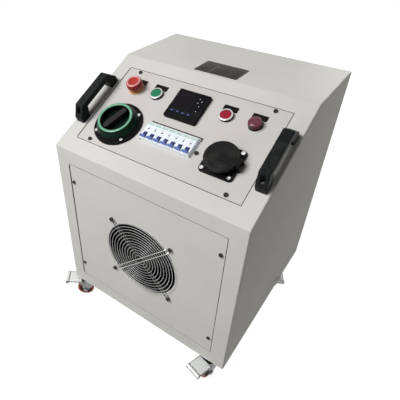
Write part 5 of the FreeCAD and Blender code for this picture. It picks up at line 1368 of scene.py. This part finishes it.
@dataclass
class Meter(SubAssembly):
    """The digital panel meter.

    Attributes:
        glass: Width, length and corner of the window's glass.
        rim: Widths, lengths and corners of the outlines of the rim about the glass.
        bar: Width, length and corner of an upright segment of a digit.
        stroke: Width, length and corner of a level segment of a digit.
    """

    across: float = -4.5
    along: float = 51.7
    recess_foot: float = 5.6
    glass: Sizes = (69.4, 51.4, 1.0)
    glass_top: float = 7.6
    rim: tuple[Sizes, Sizes] = ((69.9, 51.9, 1.0), (67.2, 49.2, 1.0))
    rim_top: float = 8.05
    window_y: float = 10.0
    key_x: tuple[float, ...] = (-26.5, -12.3, 1.9, 16.1)
    key_y: float = -22.6
    key_top: float = 9.2
    key_mark: Sizes = (4.0, 1.3, 0.4)
    mark_height: float = 0.1
    lights: tuple[Point2, ...] = ((18.5, 25.6), (26.3, 20.2), (19.1, 14.1), (25.6, 6.1),
                                  (26.3, -8.1))
    light_radius: float = 1.0
    light_height: float = 0.25
    digit_x: tuple[float, ...] = (-27.0, -16.0, -5.0, 6.0)
    digit_y: tuple[float, ...] = (25.0, 10.0, -5.0)
    digit_height: float = 0.04
    stroke: Sizes = (5.2, 1.1, 0.5)
    stroke_pitch: float = 4.6
    bar: Sizes = (1.1, 3.4, 0.5)
    bar_x: float = 3.2

    def build(self) -> None:
        """Dresses the meter and makes its glass, its digits, its lights and its key marks."""
        place = face_place(Face.CONTROL).at(self.across, self.along)
        self.dress(METER, "meter_case")
        window = place.at(along=self.window_y)
        glass = prism(box_outline(*self.glass), self.recess_foot, self.glass_top, rim=0.3)
        self.piece("meter_glass", glass, window, WINDOW, stands_for=["meter_face"])
        outer, inner = (box_outline(*sizes) for sizes in self.rim)
        self.piece("meter_rim", hoop(outer, inner, self.glass_top - BEDDING, self.rim_top),
                   window, METER)
        light = dome(self.light_radius, self.light_height, spans=16, steps=3)
        lights = light.shifted(out=self.glass_top).copies(self.lights)
        self.piece("meter_lights", lights, place, WHITE_MARK)
        self.piece("meter_digits", self.digits(), place, DIGIT)
        mark = prism(box_outline(*self.key_mark), self.key_top, self.key_top + self.mark_height)
        for number, across in enumerate(self.key_x, 1):
            self.dress(KEYS, f"meter_key_{number}")
            self.piece(f"meter_key_mark_{number}", mark, place.at(across, self.key_y),
                       KEY_MARK, f"meter_key_{number}")

    def digits(self) -> Form:
        """The unlit segments of three rows of digits.

        Returns:
            The segments, lying on the glass.
        """
        low, high = self.glass_top, self.glass_top + self.digit_height
        pitch, reach = self.stroke_pitch, self.bar_x
        digit = prism(box_outline(*self.stroke, steps=1), low, high).copies(
            (0.0, level) for level in (-pitch, 0.0, pitch))
        digit.add(prism(box_outline(*self.bar, steps=1), low, high).copies(
            (side, level) for side in (-reach, reach) for level in (-pitch / 2, pitch / 2)))
        return digit.copies((across, along) for along in self.digit_y for across in self.digit_x)


@dataclass
class Breakers(SubAssembly):
    """Seven modular breakers in a row.

    Attributes:
        window: Width, length and corner of a window.
        label: Width, length and corner of a label.
        prints: Place along the breaker and width of each print.
        shadow_strips: Outline, with its width, length and corner, and place of each black strip
            that paints the shadow in the gap above the breakers.
        lever_section: Right half of the lever's outline, from its foot to its top.
        bar_section: Right half of the cross bar's outline.
    """

    across: float = 2.5
    along: float = -39.3
    count: int = 7
    pitch: float = 18.0
    nose_top: float = 10.0
    axis_y: float = -11.5
    axis_z: float = 7.0
    lean: float = 46.0
    hub_radius: float = 6.0
    hub_width: float = 7.6
    lever_section: Section = ((2.0, 0.0), (2.0, 13.0))
    lever_half: float = 3.35
    bar_section: Section = ((2.5, 9.0), (2.5, 12.8), (1.6, 14.0))
    bar_length: float = 13.0
    window: Sizes = (3.8, 2.8, 0.3)
    window_y: float = 3.8
    window_depth: float = 0.3
    label: Sizes = (15.6, 6.4, 0.8)
    label_y: float = 16.6
    label_height: float = 0.08
    prints: tuple[Point2, ...] = ((7.4, 9.0), (9.6, 6.6), (-0.6, 4.2))
    print_width: float = 0.7
    print_end: float = 0.2
    print_height: float = 0.05
    # Black strips along the top and the right end of the breakers' opening: painted shadow of the
    # gap.
    shadow_strip_x: float = 2.0
    shadow_strip_y: float = 29.6
    shadow_strip_top: float = 0.5
    shadow_strips: tuple[tuple[Sizes, Point2], ...] = (((132.0, 2.4, 0.8), (0.0, 0.0)),
                                                ((2.6, 9.0, 0.8), (64.7, -4.0)))

    def build(self) -> None:
        """Dresses the breakers and makes their windows, prints and toggles, and black strips that
        are painted shadow above them.
        """
        self.dress(BREAKER, "breaker_bodies")
        bank = face_place(Face.CONTROL).at(self.across, self.along)
        top = self.nose_top
        poles = [self.pitch * (number - (self.count + 1) / 2)
                 for number in range(1, self.count + 1)]
        for number, across in enumerate(poles, 1):
            self.build_toggle(number, bank.at(across, self.axis_y, self.axis_z).tipped(self.lean))
        window = prism(box_outline(*self.window), top - self.window_depth, top)
        self.piece("breaker_windows", window.copies((pole, self.window_y) for pole in poles),
                   bank, DEVICE)
        label = prism(box_outline(*self.label), top, top + self.label_height)
        self.piece("breaker_labels", label.copies((pole, self.label_y) for pole in poles), bank,
                   PALE_LABEL)
        prints = Form()
        for along, width in self.prints:
            outline = box_outline(width, self.print_width, self.print_end, steps=1)
            line = prism(outline, top, top + self.print_height)
            prints.add(line.copies((pole, along) for pole in poles))
        self.piece("breaker_prints", prints, bank, PRINT)
        # Painted shadow: black strips where the gap above the breakers lies in shade
        shadow_form = Form()
        for sizes, spot in self.shadow_strips:
            shadow_form.add(prism(box_outline(*sizes), 0.0, self.shadow_strip_top, rim=0.2).shifted(*spot))
        self.piece("breaker_painted_shadow", shadow_form, bank.at(self.shadow_strip_x, self.shadow_strip_y), SEAL_AND_SHADOW)

    def build_toggle(self, number: int, place: Place) -> None:
        """Makes one toggle: a hub with a lever in a darker blue, which is painted shade, and a
        cross bar in the plain blue.

        Args:
            number: The breaker's number.
            place: The toggle's frame, with its axis along X and its lever along Z.
        """
        half, reach = self.hub_width / 2, self.bar_length / 2
        body = f"breaker_toggle_{number}"
        hub = prism(circle(self.hub_radius), -half, half, rim=0.5, foot=0.5)
        lever = soften(both_sides(self.lever_section), radius=0.5)
        hub.add(prism(lever, -self.lever_half, self.lever_half, rim=0.5, foot=0.5))
        self.piece(f"toggle_hub_{number}", hub.moved(ACROSS), place, TOGGLE_PAINTED_SHADE, body, [body])
        bar = prism(soften(both_sides(self.bar_section), radius=1.0), -reach, reach, rim=0.8,
                    foot=0.8)
        self.piece(f"toggle_bar_{number}", bar.moved(ACROSS), place, TOGGLE, body)


@dataclass
class MainSwitch(SubAssembly):
    """The rotary main switch.

    Attributes:
        collars: Name, finish and section of each ring of the base, from the outside in.
    """

    across: float = -134.0
    along: float = -46.8
    collars: tuple[tuple[str, Finish, Section], ...] = (
        ("switch_cone", SWITCH_CONE, ((49.1, 11.0), (44.0, 21.2), (42.85, 23.9), (41.2, 25.25),
                                      (40.6, 24.6), (42.4, 23.2), (43.6, 21.0), (48.7, 10.8))),
        ("switch_well", SWITCH_WELL, ((35.6, 24.7), (35.6, 25.2), (34.6, 24.9), (33.85, 24.0),
                                      (33.85, 9.0), (34.3, 9.0), (34.4, 23.0))),
        ("switch_ring", SWITCH_RING, ((41.2, 24.7), (41.0, 25.3), (39.8, 25.65), (37.2, 25.75),
                                      (35.8, 25.4), (35.4, 24.7))))
    grip_turn: float = 70.0
    disc_radius: float = 33.0
    disc_foot: float = 8.3
    disc_top: float = 12.3
    spindle_radius: float = 6.0
    spindle_length: float = 12.0
    grip_length: float = 65.0
    grip_width: float = 15.0
    grip_top: float = 27.0

    def build(self) -> None:
        """Dresses the switch and makes its green ring and its grip."""
        place = face_place(Face.CONTROL).at(self.across, self.along)
        self.dress(SWITCH, "switch_base")
        self.dress(BRIGHT_SCREW, "device_screws")
        for name, finish, section in self.collars:
            self.piece(name, turned(section, spans=120, loop=True), place, finish)
        grip = place.at(turn=self.grip_turn)
        radius, foot, top = self.spindle_radius, self.disc_foot, self.disc_top
        spindle = [(0.0, foot - self.spindle_length), (radius, foot - self.spindle_length)]
        disc = soften([(radius, foot), (self.disc_radius, foot), (self.disc_radius, top),
                       (0.0, top)], radius=0.8, closed=False)
        self.piece("grip_disc", turned(spindle + disc), grip, SWITCH_WELL, "switch_handle",
                   ["switch_handle"])
        bar = prism(stadium(self.grip_length, self.grip_width / 2), top - BEDDING,
                    self.grip_top, rim=2.5, steps=5)
        self.piece("grip_bar", bar, grip, GRIP, "switch_handle")


@dataclass
class Socket(SubAssembly):
    """The round socket with its hinged lid.

    Attributes:
        rim: The lid's raised rim, as radius and height over the lid's face.
        rings: Radii of the low rings inside it.
        ring_section: Section of a low ring, measured from its middle and the face.
        frame: Widths, lengths and corners of the outlines of the frame in the middle.
        rib: Width, length and corner of a rib in that frame.
    """

    across: float = 134.0
    along: float = -44.3
    lid_radius: float = 36.0
    lid_foot: float = 17.3
    lid_face: float = 23.0
    rim: Section = ((36.0, -1.35), (34.8, 0.0), (29.6, 0.0), (28.6, 1.25), (26.4, 1.25),
                    (25.4, 0.0))
    rings: tuple[float, ...] = (22.0, 16.5)
    ring_section: Section = ((0.9, 0.0), (0.4, 0.4), (-0.4, 0.4), (-0.9, 0.0))
    frame: tuple[Sizes, Sizes] = ((24.0, 14.0, 2.0), (22.0, 12.0, 1.4))
    rib: Sizes = (18.0, 1.6, 0.7)
    rib_pitch: float = 3.4
    rib_top: float = 0.35
    hinge_x: float = 39.2
    hinge_z: float = 19.1
    knuckle_radius: float = 2.8
    knuckle_half: float = 7.7
    bore: float = 1.55
    web_start: float = 33.0
    web_end: float = 37.6
    web_rise: float = 2.6

    def build(self) -> None:
        """Dresses the socket and makes its lid."""
        place = face_place(Face.CONTROL).at(self.across, self.along)
        self.dress(SOCKET, "socket_housing")
        self.dress(ZINC, "socket_hinge_pin")
        radius, foot, face = self.lid_radius, self.lid_foot, self.lid_face
        profile = [(0.0, foot), (radius, foot)] + beside(self.rim, 0, face)
        for ring in self.rings:
            profile += beside(self.ring_section, ring, face)
        profile.append((0.0, face))
        lid = turned(soften(profile, radius=0.4, closed=False, steps=2), spans=120)
        outer, inner = (box_outline(*sizes) for sizes in self.frame)
        lid.add(hoop(outer, inner, face - BEDDING, face + self.rib_top))
        rib = prism(box_outline(*self.rib), face - BEDDING, face + self.rib_top, rim=0.15)
        lid.add(rib.copies((0.0, row * self.rib_pitch) for row in (-1, 0, 1)))
        self.add_hinge(lid)
        self.piece("socket_cover", lid, place, LID, "socket_lid", ["socket_lid"], crease=25.0)

    def add_hinge(self, lid: Form) -> None:
        """Adds the knuckle of the hinge to the lid, and the web that carries it.

        Args:
            lid: The lid's shape.
        """
        half, foot = self.knuckle_half, self.lid_foot + BEDDING
        high = self.hinge_z + self.web_rise
        web = [(self.web_start, foot), (self.web_end, foot), (self.web_end, high),
               (self.web_start, high)]
        lid.add(prism(soften(web, radius=0.4), -half, half, rim=0.3, foot=0.3).moved(UPRIGHT))
        outer, inner = (circle(radius, self.hinge_x, self.hinge_z)
                        for radius in (self.knuckle_radius, self.bore))
        lid.add(hoop(outer, inner, -half, half).moved(UPRIGHT))


@dataclass
class Casters(SubAssembly):
    """Four braked swivel casters.

    Attributes:
        corners: Name, place on the deck and pedal direction of each.
        tread_side: Half of the tread's section, measured from its radius and its side.
        web_section: Half of the core's section, as radius and distance from its middle.
        roll_arc: First and last angle of the painted highlight on the pedal's rolled tip, in
            degrees.
        roll_play: How far that painted highlight stands proud, and how far it reaches in.
    """

    corners: tuple[tuple[str, float, float, float], ...] = (
        ("fl", -212.0, -222.0, -143.0), ("fr", 212.0, -222.0, -105.6),
        ("rl", -212.0, 160.0, 115.0), ("rr", 212.0, 160.0, -60.0))
    trail: float = 22.0
    axle_height: float = -49.0
    wheel_radius: float = 25.0
    tread_half: float = 10.0
    tread_side: Section = ((-2.0, 0.0), (-0.7, -1.6), (-0.1, -4.5))
    tread_foot: Point2 = (18.0, 9.2)
    web_section: Section = ((18.1, 9.1), (17.6, 9.1), (15.3, 5.8), (9.8, 5.6), (9.0, 11.5),
                            (8.5, 12.0))
    bore: float = 3.95
    pedal_start: float = 31.0
    pedal_end: float = 66.5
    pedal_heel: float = -9.0
    pedal_rise: float = -6.5
    pedal_tip: float = 73.0
    pedal_lead: float = 3.0
    pedal_roll: float = 5.0
    highlight_width: float = 38.0
    highlight_corner: float = 2.0
    highlight_top: float = 0.3
    roll_arc: tuple[int, int] = (35, 145)
    roll_step: int = 10
    roll_play: Point2 = (0.25, -0.1)

    def build(self) -> None:
        """Dresses the casters and makes their wheels, and a painted highlight on the tops of their
        pedals.
        """
        self.dress(ZINC, "caster_plates")
        for corner, across, along, heading in self.corners:
            self.dress(FORK, f"caster_fork_{corner}")
            self.dress(PEDAL_STEEL_DARKENED, f"caster_pedal_{corner}")
            swivel = face_place(Face.DECK).at(across, along, turn=heading)
            self.build_wheel(corner, swivel.at(self.trail, 0, self.axle_height).tipped(90))
            self.build_pedal_highlight(corner, swivel)

    def build_wheel(self, corner: str, place: Place) -> None:
        """Makes a wheel's moulded core and its tread.

        Args:
            corner: The caster's name.
            place: The wheel's frame, with its axle along Z.
        """
        body = f"caster_wheel_{corner}"
        side = beside(self.tread_side, self.wheel_radius, self.tread_half)
        foot, level = self.tread_foot
        tread = mirrored(side) + side[::-1] + [(foot, level), (foot, -level)]
        self.piece(f"wheel_tread_{corner}", turned(tread, loop=True), place, TREAD, body, [body])
        web = list(self.web_section)
        end = web[-1][1]
        core = mirrored(web[::-1]) + web + [(self.bore, end), (self.bore, -end)]
        self.piece(f"wheel_core_{corner}", turned(core, loop=True), place, CORE, body)

    def build_pedal_highlight(self, corner: str, place: Place) -> None:
        """Makes a painted highlight over the top of a brake pedal's plate and of its rolled tip.

        Args:
            corner: The caster's name.
            place: The caster's frame on the deck, with the pedal along X.
        """
        start, end, tip, heel = self.pedal_start, self.pedal_end, self.pedal_tip, self.pedal_heel
        half, lead = self.highlight_width / 2, self.pedal_lead
        slope = (self.pedal_rise - heel) / (tip - start + lead)
        outline = box_outline(end - start, self.highlight_width, self.highlight_corner)
        plate = prism(outline, -BEDDING, self.highlight_top, rim=0.15)
        plate = plate.moved(Matrix.Rotation(-math.atan(slope), 4, "Y")).shifted(
            (start + end) / 2, 0.0, heel + slope * ((end - start) / 2 + lead))
        first, last = self.roll_arc
        turns = [math.radians(turn) for turn in range(first, last + 1, self.roll_step)]
        proud, deep = (self.pedal_roll + play for play in self.roll_play)
        arc = [(tip + reach * math.cos(turn), heel + reach * math.sin(turn))
               for reach, order in ((proud, turns), (deep, turns[::-1])) for turn in order]
        roll = prism(arc, -half, half).moved(UPRIGHT)
        self.piece(f"pedal_painted_highlight_{corner}", plate.add(roll), place, PEDAL_HIGHLIGHT,
                   f"caster_pedal_{corner}")


def main() -> None:
    """Builds every sub-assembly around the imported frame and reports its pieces."""
    logging.basicConfig(level=logging.INFO, format="%(message)s")
    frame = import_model()
    workshop = ShaderWorkshop()
    nodes = frame["nodes"]
    done: set[str] = set()
    for kind in (Cabinet, Fan, Controls, Meter, Breakers, MainSwitch, Socket, Casters):
        group = kind(workshop, nodes)
        group.build()
        done.update(group.dressed, group.covered)
        LOG.info("%s: %d pieces made, %d nodes dressed, %d nodes covered", kind.__name__,
                 len(group.pieces), len(group.dressed), len(group.covered))
        for name in group.pieces:
            LOG.info("  %s", name)
    LOG.info("nodes without a finish: %s", sorted(set(nodes) - done))
    Studio().build()


if __name__ == "__main__":
    main()
